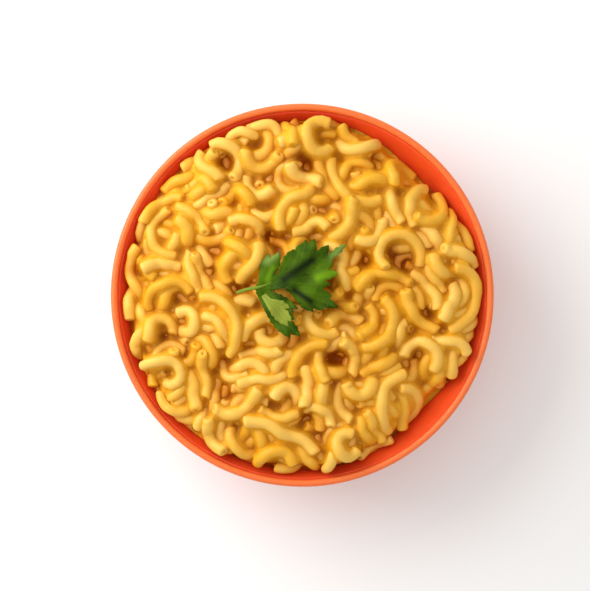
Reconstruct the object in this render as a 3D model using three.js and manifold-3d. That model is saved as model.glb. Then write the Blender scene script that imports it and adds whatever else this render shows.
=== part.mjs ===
// Macaroni cheese heaped in a round orange bowl, with a leaf of flat parsley on top.
// Millimetres, +Z up. The origin is the centre of the foot, on the surface that the bowl stands on.
import * as THREE from "three";
import { mergeVertices } from "three/addons/utils/BufferGeometryUtils.js";
import Module from "manifold-3d";

// Bowl
const RIM_RADIUS = 95;
const BOWL_HEIGHT = 60;
const RIM_WIDTH = 3.4;
const LEDGE_WIDTH = 1.1; // the small step just inside the rim
const LEDGE_DROP = 2.2;
const WALL = 2.6;
const FOOT_RADIUS = 42;
const FOOT_WIDTH = 4;
const FLOOR_RADIUS = 32;
const FLOOR_HEIGHT = 6;
const BOWL_SIDES = 44;
const WALL_STEPS = 7;

// Macaroni
const TUBE_RADIUS = 2.45; // of the thinnest piece
const TUBE_RADIUS_RANGE = 0.65;
const LEAST_LENGTH = 21; // of a piece placed by hand
const OPEN_TURN = 150; // a placed piece that turns less is turned further
const EXTRA_TURN = 50;
const WALL_REACH = 87; // as far out as a placed piece's centreline may lie
const BEADS = 9; // points along the centreline of one piece
const LAYERS = 3;
const PIECES_A_LAYER = 84;
const LAYER_STEP = 5.5;
const SEED = 11;
const GOLDEN_ANGLE = Math.PI * (3 - Math.sqrt(5));

// Heap
const HEAP_RADIUS = 87;
const SPREAD = 92; // radius that the loose pieces are scattered over
const SHY_SPREAD = 20; // how much less it is at the shy sides
const BED_EDGE = 50.5; // height of the bed that the loose pieces lie on, at the wall
const BED_RISE = 8.5; // how much higher it is in the middle
const SHY_ANGLES = [45, -45]; // degrees, the two sides where the heap stops short of the wall
const SHY_HALF_ANGLE = 0.3;
const SHY_DROP = 10.5;
const DIMPLE = { x: 13, y: -1, radius: 15, depth: 5 };

// Settling
const ROUNDS = 150;
const SLOW_AFTER = 120;
const FALL = 0.22;
const SLOW_FALL = 0.066;
const SQUASH = 0.93; // cooked pieces press a little into each other
const BED_SINK = 1.6;
const WALL_CLEARANCE = 1.2;
const GRIP = 0.7; // share of a sideways move that friction lets through
const STIFFNESS = [1, 0.6, 0.35, 0.25]; // holds a bead to the 1st, 2nd, 3rd and 4th next

// Pieces that lie uppermost: [start], [end], degrees that the curl turns (anticlockwise is
// positive), and how its bend begins, 1 being an even arc.
const UPPERMOST = [
  [[10.5, 86.5], [11, 75], 266, 1],
  [[-12, 87], [-5, 71], -20, 1],
  [[19, 82], [38, 80], 180, 0.8],
  [[-48, 75], [-38, 57], -165, 1],
  [[-29, 71], [-11, 71], 165, 1],
  [[-37, 44], [-27, 44], -240, 1],
  [[-64, 40.5], [-63, 18.5], 185, 1],
  [[-60, 47.5], [-81, 36], 40, 1],
  [[-86, 24], [-82, 2], 120, 0.8],
  [[6, 52], [-7, 33], 170, 1],
  [[24, 47], [15, 28], -80, 1],
  [[-4, 66], [11, 56], 40, 1],
  [[13, 67], [37, 47], 80, 0.8],
  [[56, 61], [40, 51], 185, 1],
  [[60, 49.5], [54, 32], 170, 1.1],
  [[42, 51], [50, 34], 12, 1],
  [[55, 38], [76, 47], 75, 1],
  [[42, 15], [60, 16], -250, 1.3],
  [[76, 12], [75, -17], -130, 1.5],
  [[53, 9], [68, -7], -30, 1],
  [[52, 2], [65, -17], 75, 1],
  [[37, -4], [31, -25], -190, 1],
  [[70, -23], [84, -28], -25, 1],
  [[50, -30], [64, -35], -230, 1],
  [[50, -38], [43, -67], 85, 1.5],
  [[23.8, -68.5], [26.1, -73.5], 300, 1],
  [[-28, -63.5], [3, -79], -55, 1],
  [[-23, -87], [-9, -87], -210, 1],
  [[-52, 0], [-38, -28], -100, 1],
  [[-31, -20], [-11, -14], -75, 1],
  [[-6, -38], [11, -24], -75, 1],
  [[-31, -42], [-10, -35], 55, 1],
  [[-43, -52], [-22, -45], 150, 1],
  [[-49, -62], [-40, -80], 60, 1],
  [[-84, -41], [-72, -44], -270, 0.1],
  [[-54, 21], [-51, 1], 25, 1],
  [[-74, 8], [-58, 14], -60, 1],
  [[-47, -27], [-44, -50], 20, 1],
  [[-61, -11], [-61, -19], -270, 1],
  [[-74, -22], [-64, -20], -250, 1],
  [[71, 22], [89, 19], -20, 1],
  [[74, 40], [71, 26], 30, 1],
  [[63, 19], [73, 15], 200, 1],
  [[21, -42], [32, -42], 200, 1],
  [[19, -21], [24, -38], -70, 1],
  [[3, -57], [15, -63], -120, 1],
  [[-20, -52], [-3, -60], 50, 1],
  [[4, -36], [8, -55], 25, 1],
  [[22, 88], [31, 71], 40, 1],
  [[-54, 50], [-44, 50], -220, 1],
  [[-37, 27], [-20, 24], 50, 1],
  [[-29, 24], [-38, 6], 55, 1],
  [[-19, 26], [-28, 7], 45, 1],
  [[-75, -6], [-54, 0], -130, 1],
];

// Pieces that lie beneath those, written alike.
const BENEATH = [
  [[-45, 69], [-43, 57], 40, 1],
  [[-33, 72], [-22, 80], -120, 1],
  [[-27, 85], [-14, 83], -60, 1],
  [[-66, 50], [-50, 61], -40, 1],
  [[-66, 36], [-57, 20], -60, 1],
  [[-60, 40], [-47, 28], -50, 1],
  [[-88, 20], [-75, 9], -30, 1],
  [[-35, 37], [-22, 30], -150, 1],
  [[-48, 20], [-44, 4], 30, 1],
  [[6, 80], [19, 82], -60, 1],
  [[8, 66], [18, 48], 20, 1],
  [[23, 50], [41, 56], -50, 1],
  [[27, 32], [39, 36], 120, 1],
  [[0, 29], [14, 31], -160, 1],
  [[79, 40], [84, 20], -35, 1],
  [[57, 36], [68, 15], -60, 1],
  [[25, -19], [36, -6], 60, 1],
  [[13, -26], [13, -41], 20, 1],
  [[37, -26], [28, -39], -60, 1],
  [[21, -45], [24, -62], 12, 1],
  [[43, -69], [28, -79], -30, 1],
  [[24, -59], [36, -73], -45, 1],
  [[48, -42], [45, -69], -85, 1],
  [[72, 5], [69, -13], -50, 1],
  [[4, -68], [8, -86], 25, 1],
  [[22, -75], [9, -90], -25, 1],
  [[26, -57], [39, -60], -30, 1],
  [[-85, 4], [-80, -13], 75, 1],
  [[-76, -17], [-79, -28], 130, 1],
  [[-77, -34], [-63, -23], 20, 1],
  [[-70, -38], [-56, -27], -80, 1],
  [[-60, -37], [-49, -26], 20, 1],
  [[-64, -48], [-52, -61], 100, 1],
  [[-57, -37], [-52, -58], 25, 1],
  [[-41, -43], [-49, -58], -35, 1],
  [[-49, -11], [-41, -25], -60, 1],
  [[-40, -31], [-26, -33], 110, 1],
  [[-28, -32], [-10, -29], -85, 1],
  [[-33, -46], [-21, -54], -75, 1],
  [[-34, -64], [-21, -80], 50, 1],
  [[-22, -60], [-18, -79], 25, 1],
  [[-16, -64], [-9, -81], 35, 1],
  [[-30, -64], [-40, -82], -25, 1],
  [[-38, -52], [-38, -71], 20, 1],
  [[12, -20], [29, -11], -40, 1],
  [[66, -34], [55, -44], -230, 1],
  [[31, 3], [51, 4], -140, 1],
  [[70, 40], [90, 37], 30, 1],
  [[-27, 58], [-14, 50], 40, 1],
  [[-46, 34], [-34, 31], 60, 1],
];
const PLACED_TILT = 1.5;
const PLACED_ARCH = 2; // how much lower its ends lie than its middle
const UPPERMOST_OVERLAP = 3; // beads of another piece that may lie under one of these

// Solid heap
const SHOWN_PIECES = 116;
const TUBE_SIDES = 5;
const POLYGON_GROWTH = 1.1; // makes a five-sided tube as thick as the round one on average
const STEP_TURN = THREE.MathUtils.degToRad(48); // most that a tube turns at one joint
const CLEAR_OF_OTHERS = 4.8;
const LEAST_FREE = 2; // beads that a piece must add to be shown
const CORE_LIFT = 5; // the solid core stands this far above the bed
const CORE_GAP = 0.9;
const CORE_SECTORS = 30;
const CORE_RINGS = 6;

// Parsley, seen from above: each lobe runs from its base to its tip, with its half width.
const LOBES = [
  [[-20.5, 4.6], [-16.2, 20.4], 2.7],
  [[-19.5, 4.6], [-11, 21.2], 3.2],
  [[-22, 3], [6, 13], 4.6],
  [[-11, 9], [-4.1, 22.6], 2.6],
  [[-6, 9], [-0.6, 25.4], 2.7],
  [[-3, 9], [2, 27.4], 2.7],
  [[-1, 9], [6, 27.6], 3.6],
  [[2, 10], [12.9, 24.6], 3.2],
  [[2, 10], [15, 17.5], 4],
  [[8, 14], [21.8, 25.4], 1.7],
  [[-6, 8], [17.8, 10.8], 3.4],
  [[-6, 6], [14.2, 5.2], 2.6],
  [[-8, 4], [17.8, -6], 3.4],
  [[-3, 2.6], [14.6, -0.6], 3],
  [[-5, 3.4], [10.8, -7.2], 3],
  [[-6, 3], [5.4, -8.2], 2.4],
  [[-22.5, 3.4], [-1.9, -6.7], 2.5],
  [[-13, -1.6], [-4.6, -8.2], 1.8],
  [[-21.5, 2.4], [-5.8, -21], 3.6],
  [[-13, -8.5], [-1, -20], 2.7],
  [[-12, -7], [-3.8, -11.8], 2.2],
];
const TURNED_LOBES = [
  [[-19, 0.2], [-6.8, -15.2], 2.9],
  [[-15, -3], [-5.2, -12.8], 2.4],
  [[-16, -2.4], [-6, -6.2], 2],
];
const LEAF_THICKNESS = 0.8;
const LEAF_PITCH = 2.3; // of the triangles that the leaf is split into
const TURNED_RISE = 1.1; // the part that is folded over lies this much higher
const STEM = [[-32.3, 1.1], [-27, 2.9], [-21.5, 3.8], [-15, 6.2]];
const STEM_RADIUS = 0.9;
const RESTING_GAP = 0.3;
const RESTING_STEP = 0.1;

// Random numbers from 0 to 1, the same on every run.
function randomStream(seed) {
  let state = seed >>> 0;
  return () => {
    state = (state + 0x6d2b79f5) >>> 0;
    let t = Math.imul(state ^ (state >>> 15), state | 1);
    t ^= t + Math.imul(t ^ (t >>> 7), t | 61);
    return ((t ^ (t >>> 14)) >>> 0) / 4294967296;
  };
}

// Inner wall of the bowl as a curve in (radius, height).
const LEDGE_RADIUS = RIM_RADIUS - RIM_WIDTH - LEDGE_WIDTH;
const LEDGE_HEIGHT = BOWL_HEIGHT - RIM_WIDTH / 2 - LEDGE_DROP;
const innerWall = new THREE.CubicBezierCurve(
  new THREE.Vector2(FLOOR_RADIUS, FLOOR_HEIGHT),
  new THREE.Vector2(2 * FLOOR_RADIUS, FLOOR_HEIGHT),
  new THREE.Vector2(0.8 * RIM_RADIUS, 0.5 * BOWL_HEIGHT),
  new THREE.Vector2(LEDGE_RADIUS, LEDGE_HEIGHT),
);
const innerWallPoints = innerWall.getPoints(WALL_STEPS);

function innerRadiusAt(height) {
  if (height >= LEDGE_HEIGHT) return LEDGE_RADIUS;
  const k = innerWallPoints.findIndex((p) => p.y > height);
  if (k < 1) return FLOOR_RADIUS;
  const [a, b] = [innerWallPoints[k - 1], innerWallPoints[k]];
  return a.x + ((b.x - a.x) * (height - a.y)) / (b.y - a.y);
}

// How far a direction lies in a side where the heap stops short, from 0 to 1.
function shyness(angle) {
  return SHY_ANGLES.reduce((sum, degrees) => {
    const off = angle - THREE.MathUtils.degToRad(degrees);
    const turn = Math.atan2(Math.sin(off), Math.cos(off));
    return sum + Math.exp(-((turn / SHY_HALF_ANGLE) ** 2));
  }, 0);
}

// The bed under the loose pieces: domed, lower at the shy sides, with a dimple near the middle.
function bedHeight(x, y) {
  const reach = Math.min(Math.hypot(x, y) / HEAP_RADIUS, 1.2);
  const angle = Math.atan2(y, x);
  let height = BED_EDGE + BED_RISE * (1 - reach ** 2.2);
  height -= SHY_DROP * shyness(angle) * Math.min(reach, 1) ** 5;
  const fromDimple = (x - DIMPLE.x) ** 2 + (y - DIMPLE.y) ** 2;
  return height - DIMPLE.depth * Math.exp(-fromDimple / DIMPLE.radius ** 2);
}

// The solid core's top: above the bed in the middle and level with it at the wall.
function coreHeight(x, y) {
  const reach = Math.min(Math.hypot(x, y) / HEAP_RADIUS, 1);
  return bedHeight(x, y) + CORE_LIFT * (1 - 0.6 * reach ** 4);
}

// Centreline of a curl between two points on the plan, turning evenly or tighter at one end.
function curlBetween(start, end, degrees, begin) {
  const extra = Math.abs(degrees) < OPEN_TURN ? EXTRA_TURN * Math.sign(degrees) : 0;
  const total = THREE.MathUtils.degToRad(degrees + extra);
  const legs = BEADS - 1;
  const points = [new THREE.Vector2()];
  let heading = 0;
  for (let k = 0; k < legs; k++) {
    const share = (begin + ((1 - begin) * (2 * k + 1)) / legs) / legs;
    heading += total * share;
    const middle = heading - (total * share) / 2;
    points.push(points[k].clone().add(new THREE.Vector2(Math.cos(middle), Math.sin(middle))));
  }
  const from = new THREE.Vector2(...start);
  const chord = new THREE.Vector2(...end).sub(from);
  const span = points[legs];
  const turn = chord.angle() - span.angle();
  const scale = chord.length() / span.length();
  const middle = chord.clone().multiplyScalar(0.5);
  const longer = Math.max(1, LEAST_LENGTH / (legs * scale));
  const placed = points.map((p) =>
    p
      .rotateAround(new THREE.Vector2(), turn)
      .multiplyScalar(scale)
      .sub(middle)
      .multiplyScalar(longer)
      .add(middle)
      .add(from),
  );
  const past = Math.max(0, Math.max(...placed.map((p) => p.length())) - WALL_REACH);
  const inwards = middle.clone().add(from).setLength(-past);
  return placed.map((p) => p.add(inwards));
}

// A piece of a drawn kind about its own middle: a tight curl, an elbow, a slack one or an S.
function drawnPiece(draw) {
  const kind = draw();
  let [length, radius] = [27 + 8 * draw(), 7.5 + 3 * draw()];
  if (kind < 0.66) [length, radius] = [length, radius * 0.85 - 0.4];
  else if (kind < 0.84) [length, radius] = [length - 5, radius + 1];
  else if (kind < 0.87) [length, radius] = [length - 8, radius * 2.6];
  const isEss = kind >= 0.87;
  const begin = 0.75 + 0.5 * draw();
  const pitch = (draw() - 0.5) * 0.5;
  const legs = BEADS - 1;
  const step = length / legs;
  const points = [new THREE.Vector3()];
  let heading = 0;
  for (let k = 0; k < legs; k++) {
    const side = isEss && 2 * k >= legs ? -1 : 1;
    heading += ((side * step) / radius) * (begin + ((1 - begin) * 2 * k) / (legs - 1));
    const leg = new THREE.Vector3(Math.cos(heading), Math.sin(heading), pitch);
    points.push(points[k].clone().addScaledVector(leg, step));
  }
  const middle = points.reduce((sum, p) => sum.add(p), new THREE.Vector3()).divideScalar(BEADS);
  return points.map((p) => p.sub(middle));
}

const drawnRadius = (draw) => TUBE_RADIUS + TUBE_RADIUS_RANGE * draw();

// Every piece above its place, layer by layer, before it settles.
function scatter() {
  const draw = randomStream(SEED);
  const top = [...UPPERMOST, ...BENEATH].map(([start, end, degrees, begin], n) => {
    const level = n < UPPERMOST.length ? LAYERS + 1 : LAYERS;
    const beads = curlBetween(start, end, degrees, begin).map((p, k) => {
      const share = (2 * k) / (BEADS - 1) - 1;
      const tilt = PLACED_TILT * share * (n % 2 ? 1 : -1) - PLACED_ARCH * share ** 2;
      return new THREE.Vector3(p.x, p.y, bedHeight(p.x, p.y) + 4 + LAYER_STEP * level + tilt);
    });
    return { beads, radius: drawnRadius(draw), isUppermost: level > LAYERS };
  });
  const topBeads = top.flatMap((piece) => piece.beads);
  const isUnderTop = (bead) =>
    topBeads.some((other) => Math.hypot(other.x - bead.x, other.y - bead.y) < 2 * TUBE_RADIUS);
  const pieces = [];
  for (let layer = 0; layer < LAYERS; layer++) {
    for (let k = 0; k < PIECES_A_LAYER; k++) {
      const angle = k * GOLDEN_ANGLE + layer * 2.1 + 0.5 * draw();
      const spread = SPREAD - SHY_SPREAD * shyness(angle);
      const reach = spread * Math.sqrt((k + 0.5) / PIECES_A_LAYER) - 3 * draw();
      const shape = drawnPiece(draw);
      const radius = drawnRadius(draw);
      const steep = draw() < 0.3 ? 2 : 1;
      const yaw = 2 * Math.PI * draw();
      const pitch = (draw() - 0.5) * steep;
      const roll = (draw() - 0.5) * 0.9 * steep;
      const turn = new THREE.Euler(roll, pitch, yaw, "ZYX");
      const place = new THREE.Vector3(reach * Math.cos(angle), reach * Math.sin(angle), 0);
      place.z = bedHeight(place.x, place.y) + 4 + LAYER_STEP * layer;
      const beads = shape.map((p) => p.applyEuler(turn).add(place));
      const isTopLayer = layer === LAYERS - 1;
      if (isTopLayer && beads.filter(isUnderTop).length > UPPERMOST_OVERLAP) continue;
      pieces.push({ beads, radius });
    }
  }
  return pieces.concat(top);
}

// Pairs of beads of different pieces that are close enough to touch soon.
function nearbyPairs(beads, reach) {
  const pairs = [];
  for (let i = 0; i < beads.length; i++) {
    for (let j = i + 1; j < beads.length; j++) {
      const [a, b] = [beads[i], beads[j]];
      if (a.piece === b.piece || Math.abs(a.at.x - b.at.x) > reach) continue;
      if (a.at.distanceToSquared(b.at) < reach * reach) pairs.push([a, b]);
    }
  }
  return pairs;
}

// Pushes touching beads apart, all at once.
function separate(beads, pairs) {
  for (const bead of beads) {
    bead.push.set(0, 0, 0);
    bead.touches = 0;
  }
  const gap = new THREE.Vector3();
  for (const [a, b] of pairs) {
    gap.subVectors(a.at, b.at);
    const distance = gap.length() + 1e-9;
    const overlap = (a.radius + b.radius) * SQUASH - distance;
    if (overlap <= 0) continue;
    gap.multiplyScalar((0.4 * overlap) / distance);
    a.push.add(gap);
    b.push.sub(gap);
    a.touches++;
    b.touches++;
  }
  for (const bead of beads) {
    bead.at.addScaledVector(bead.push, 1 / Math.max(1, 0.55 * bead.touches));
  }
}

// Keeps beads off the wall and above the bed.
function contain(beads) {
  for (const { at, radius } of beads) {
    const limit = innerRadiusAt(at.z) - radius - WALL_CLEARANCE;
    const reach = Math.hypot(at.x, at.y);
    if (reach > limit) {
      at.x *= limit / reach;
      at.y *= limit / reach;
    }
    at.z = Math.max(at.z, bedHeight(at.x, at.y) + BED_SINK);
  }
}

// Holds every piece near its own shape.
function keepShape(pieces) {
  const gap = new THREE.Vector3();
  for (const { beads, rest } of pieces) {
    STIFFNESS.forEach((stiffness, k) => {
      for (let i = 0; i + k + 1 < BEADS; i++) {
        const [a, b] = [beads[i], beads[i + k + 1]];
        gap.subVectors(b, a);
        const length = gap.length() + 1e-9;
        gap.multiplyScalar(((length - rest[k][i]) / length) * 0.5 * stiffness);
        a.add(gap);
        b.sub(gap);
      }
    });
  }
}

// Lets the pieces sink on to the bed and each other until they lie still.
function settle(pieces) {
  const beads = pieces.flatMap((piece) =>
    piece.beads.map((at) => ({ at, piece, radius: piece.radius, push: new THREE.Vector3() })),
  );
  for (const piece of pieces) {
    piece.rest = STIFFNESS.map((_, k) =>
      piece.beads.slice(k + 1).map((bead, i) => bead.distanceTo(piece.beads[i])),
    );
  }
  let pairs = [];
  for (let round = 0; round < ROUNDS; round++) {
    if (round % 6 === 0) pairs = nearbyPairs(beads, 2 * (TUBE_RADIUS + TUBE_RADIUS_RANGE) + 1.5);
    const before = beads.map(({ at }) => at.clone());
    for (const { at } of beads) at.z -= round < SLOW_AFTER ? FALL : SLOW_FALL;
    for (let pass = 0; pass < 3; pass++) {
      separate(beads, pairs);
      contain(beads);
      keepShape(pieces);
    }
    beads.forEach(({ at }, k) => {
      at.x = before[k].x + (at.x - before[k].x) * GRIP;
      at.y = before[k].y + (at.y - before[k].y) * GRIP;
    });
  }
  contain(beads);
}

// The pieces that show, spread evenly: each next one adds the most beads clear of those before,
// and is kept as the run from the first such bead to the last.
function shownRuns(pieces) {
  const taken = [];
  const isFree = (bead) =>
    taken.every((other) => Math.hypot(other.x - bead.x, other.y - bead.y) > CLEAR_OF_OTHERS);
  const isProud = (bead) => bead.z + 0.5 * TUBE_RADIUS > coreHeight(bead.x, bead.y);
  const rest = new Set(pieces.filter((piece) => piece.beads.some(isProud)));
  const runs = [];
  while (runs.length < SHOWN_PIECES && rest.size) {
    let best = { score: 0 };
    for (const piece of rest) {
      const free = piece.beads.map((bead) => isFree(bead) && isProud(bead));
      const count = free.filter(Boolean).length;
      const top = Math.max(...piece.beads.map((bead) => bead.z - bedHeight(bead.x, bead.y)));
      const score = count < LEAST_FREE ? 0 : count + top * 0.5 + (piece.isUppermost ? BEADS : 0);
      if (score > best.score) best = { score, piece, free };
    }
    if (!best.piece) break;
    const { piece, free } = best;
    rest.delete(piece);
    const first = Math.max(free.indexOf(true) - 1, 0);
    const last = Math.min(free.lastIndexOf(true) + 1, BEADS - 1);
    const beads = piece.beads.slice(first, last + 1);
    taken.push(...beads);
    runs.push({ beads, radius: piece.radius });
  }
  return runs;
}

const wasm = await Module();
wasm.setup();

function solidFrom(geometry) {
  const plain = geometry.clone();
  plain.deleteAttribute("normal");
  plain.deleteAttribute("uv");
  const merged = mergeVertices(plain, 1e-4);
  return new wasm.Manifold(
    new wasm.Mesh({
      numProp: 3,
      vertProperties: merged.attributes.position.array,
      triVerts: new Uint32Array(merged.index.array),
    }),
  );
}

function geometryFrom(solid) {
  const mesh = solid.getMesh();
  const geometry = new THREE.BufferGeometry();
  geometry.setAttribute("position", new THREE.BufferAttribute(mesh.vertProperties, 3));
  geometry.setIndex(new THREE.BufferAttribute(mesh.triVerts, 1));
  geometry.computeVertexNormals();
  return geometry;
}

function largestBody(solid) {
  return solid.decompose().reduce((a, b) => (b.volume() > a.volume() ? b : a));
}

// A few-sided tube along a curve, closed at both ends.
function tube(curve, radius, sides, steps) {
  const outline = new THREE.Shape();
  for (let k = 0; k < sides; k++) {
    const angle = (2 * Math.PI * k) / sides;
    outline[k ? "lineTo" : "moveTo"](radius * Math.cos(angle), radius * Math.sin(angle));
  }
  outline.closePath();
  return new THREE.ExtrudeGeometry(outline, { extrudePath: curve, steps, bevelEnabled: false });
}

function bowl() {
  const floorFlat = [new THREE.Vector2(0, FLOOR_HEIGHT)];
  const outer = [];
  for (let k = WALL_STEPS; k >= 1; k--) {
    const tangent = innerWall.getTangent(k / WALL_STEPS);
    const point = innerWall.getPoint(k / WALL_STEPS);
    point.add(new THREE.Vector2(tangent.y, -tangent.x).multiplyScalar(WALL));
    if (point.x > FOOT_RADIUS + 1) outer.push(point);
  }
  const lipRadius = RIM_WIDTH / 2;
  const lip = [];
  for (let k = 0; k <= 4; k++) {
    const angle = Math.PI * (1 - k / 4);
    lip.push(
      new THREE.Vector2(
        RIM_RADIUS - lipRadius + lipRadius * Math.cos(angle),
        BOWL_HEIGHT - lipRadius + lipRadius * Math.sin(angle),
      ),
    );
  }
  const underLip = [new THREE.Vector2(RIM_RADIUS, BOWL_HEIGHT - RIM_WIDTH - 1)];
  const underside = FLOOR_HEIGHT - WALL;
  const foot = [
    new THREE.Vector2(FOOT_RADIUS + 0.6, underside),
    new THREE.Vector2(FOOT_RADIUS, 0),
    new THREE.Vector2(FOOT_RADIUS - FOOT_WIDTH, 0),
    new THREE.Vector2(FOOT_RADIUS - FOOT_WIDTH - 0.6, underside),
    new THREE.Vector2(0, underside),
  ];
  const ledge = [new THREE.Vector2(LEDGE_RADIUS + LEDGE_WIDTH, LEDGE_HEIGHT)];
  const profile = [...floorFlat, ...innerWallPoints, ...ledge, ...lip, ...underLip, ...outer, ...foot];
  return new THREE.LatheGeometry(profile.reverse(), BOWL_SIDES).rotateX(Math.PI / 2);
}

// The heap's core: its underside follows the bowl and its top follows the bed, lifted.
function core() {
  const positions = [];
  const index = [];
  const under = innerWallPoints.map((point, k) => {
    const tangent = innerWall.getTangent(k / WALL_STEPS);
    return new THREE.Vector2(-tangent.y, tangent.x).multiplyScalar(CORE_GAP).add(point);
  });
  for (let s = 0; s < CORE_SECTORS; s++) {
    const angle = (2 * Math.PI * s) / CORE_SECTORS;
    const [cos, sin] = [Math.cos(angle), Math.sin(angle)];
    let edge = LEDGE_HEIGHT;
    let reach = 0;
    do {
      edge -= 0.25;
      reach = innerRadiusAt(edge) - 1.2 * CORE_GAP;
    } while (coreHeight(reach * cos, reach * sin) < edge);
    for (let k = 1; k < CORE_RINGS; k++) {
      const at = (reach * k) / CORE_RINGS;
      positions.push(at * cos, at * sin, coreHeight(at * cos, at * sin));
    }
    positions.push(reach * cos, reach * sin, edge);
    for (let k = WALL_STEPS - 1; k >= 0; k--) {
      const height = Math.min(under[k].y, edge - 1 - WALL_STEPS + k);
      const at = Math.min(under[k].x, innerRadiusAt(height) - 1.2 * CORE_GAP);
      positions.push(at * cos, at * sin, height);
    }
  }
  const column = CORE_RINGS + WALL_STEPS;
  const top = positions.length / 3;
  positions.push(0, 0, coreHeight(0, 0));
  const bottom = top + 1;
  positions.push(0, 0, FLOOR_HEIGHT + CORE_GAP);
  for (let s = 0; s < CORE_SECTORS; s++) {
    const [a, b] = [s * column, ((s + 1) % CORE_SECTORS) * column];
    index.push(top, a, b);
    for (let k = 0; k < column - 1; k++) {
      index.push(a + k, a + k + 1, b + k + 1, a + k, b + k + 1, b + k);
    }
    index.push(bottom, b + column - 1, a + column - 1);
  }
  const geometry = new THREE.BufferGeometry();
  geometry.setAttribute("position", new THREE.Float32BufferAttribute(positions, 3));
  geometry.setIndex(index);
  return geometry;
}

// Core and shown pieces as one solid.
function heap(runs) {
  const tubes = runs.map(({ beads, radius }) => {
    const curve = new THREE.CatmullRomCurve3(beads);
    const legs = beads.slice(1).map((bead, k) => bead.clone().sub(beads[k]));
    const turn = legs.slice(1).reduce((sum, leg, k) => sum + leg.angleTo(legs[k]), 0);
    const steps = Math.max(2, Math.round(turn / STEP_TURN));
    return solidFrom(tube(curve, radius * POLYGON_GROWTH, TUBE_SIDES, steps));
  });
  return largestBody(wasm.Manifold.union([solidFrom(core()), ...tubes]));
}

// How far inside the lobes a point lies, less than zero outside them.
function depthInLobes(x, y, lobes) {
  const depths = lobes.map(([[fromX, fromY], [toX, toY], halfWidth]) => {
    const [dx, dy] = [toX - fromX, toY - fromY];
    const length = Math.hypot(dx, dy);
    const along = ((x - fromX) * dx + (y - fromY) * dy) / length ** 2;
    const across = Math.abs((x - fromX) * dy - (y - fromY) * dx) / length;
    const beyond = Math.max(-along, along - 1) * length;
    if (beyond > 0) return -Math.hypot(beyond, across);
    const widening = 0.45 + 0.55 * Math.min(along / 0.55, 1);
    const narrowing = 1 - Math.max((along - 0.55) / 0.45, 0) ** 2.2;
    return halfWidth * widening * narrowing - across;
  });
  return Math.max(...depths);
}

// Height of the leaf's middle surface: creased along its veins and rippled.
function leafWave(x, y) {
  const crease = Math.abs(y - 4 - 0.42 * (x + 21)) * 0.1;
  const ripple = 0.7 * Math.sin(0.42 * x - 0.3 * y) + 0.6 * Math.sin(0.5 * y + 0.12 * x + 1.2);
  const droop = 0.0045 * ((x + 4) ** 2 + (y - 5) ** 2);
  return crease + ripple - droop;
}

// A triangle lattice clipped to the lobes' outline: triples of plan points, anticlockwise.
function leafTriangles(lobes) {
  const rowStep = LEAF_PITCH * Math.sqrt(0.75);
  const places = lobes.flatMap(([from, to]) => [from, to]);
  const [west, south] = [0, 1].map((k) => Math.min(...places.map((p) => p[k])) - 5);
  const [east, north] = [0, 1].map((k) => Math.max(...places.map((p) => p[k])) + 5);
  const rows = [];
  for (let y = south, row = 0; y < north; y += rowStep, row++) {
    rows.push([]);
    for (let x = west + (row % 2) * 0.5 * LEAF_PITCH; x < east; x += LEAF_PITCH) {
      rows[row].push({ x, y, depth: depthInLobes(x, y, lobes) });
    }
  }
  const crossings = new Map();
  const crossing = (inside, outside) => {
    const key = [inside.x, inside.y, outside.x, outside.y].map((v) => v.toFixed(3)).join();
    if (!crossings.has(key)) {
      const share = inside.depth / (inside.depth - outside.depth);
      const t = THREE.MathUtils.clamp(share, 0.2, 0.8);
      const x = THREE.MathUtils.lerp(inside.x, outside.x, t);
      const y = THREE.MathUtils.lerp(inside.y, outside.y, t);
      crossings.set(key, { x, y });
    }
    return crossings.get(key);
  };
  const triangles = [];
  const clip = (corners) => {
    const ring = [];
    corners.forEach((a, k) => {
      const b = corners[(k + 1) % 3];
      if (a.depth > 0) ring.push(a);
      if (a.depth > 0 && b.depth <= 0) ring.push(crossing(a, b));
      if (a.depth <= 0 && b.depth > 0) ring.push(crossing(b, a));
    });
    for (let k = 2; k < ring.length; k++) triangles.push([ring[0], ring[k - 1], ring[k]]);
  };
  for (let row = 0; row + 1 < rows.length; row++) {
    const [near, far] = [rows[row], rows[row + 1]];
    const shift = row % 2;
    for (let k = 0; k + 1 + shift < Math.min(near.length, far.length); k++) {
      clip([near[k], near[k + 1], far[k + shift]]);
      clip([near[k + 1 - shift], far[k + 1], far[k]]);
    }
  }
  return triangles;
}

// A thin wavy solid over the lobes, with both faces split into the same triangles.
function leaf(lobes, rise) {
  const triangles = leafTriangles(lobes);
  const points = [...new Set(triangles.flat())];
  const numbers = new Map(points.map((point, k) => [point, k]));
  const positions = [];
  for (const half of [0.5, -0.5]) {
    for (const { x, y } of points) {
      positions.push(x, y, leafWave(x, y) + rise + half * LEAF_THICKNESS);
    }
  }
  const index = [];
  const edges = new Map();
  for (const corners of triangles) {
    const [a, b, c] = corners.map((corner) => numbers.get(corner));
    const under = points.length;
    index.push(a, b, c, under + c, under + b, under + a);
    for (const [from, to] of [[a, b], [b, c], [c, a]]) {
      if (!edges.delete(`${to},${from}`)) edges.set(`${from},${to}`, [from, to]);
    }
  }
  for (const [from, to] of edges.values()) {
    const under = points.length;
    index.push(from, under + from, under + to, from, under + to, to);
  }
  const geometry = new THREE.BufferGeometry();
  geometry.setAttribute("position", new THREE.Float32BufferAttribute(positions, 3));
  geometry.setIndex(index);
  return geometry;
}

function stem() {
  const points = STEM.map(([x, y]) => new THREE.Vector3(x, y, leafWave(x, y)));
  return tube(new THREE.CatmullRomCurve3(points), STEM_RADIUS, 6, 6);
}

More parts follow.
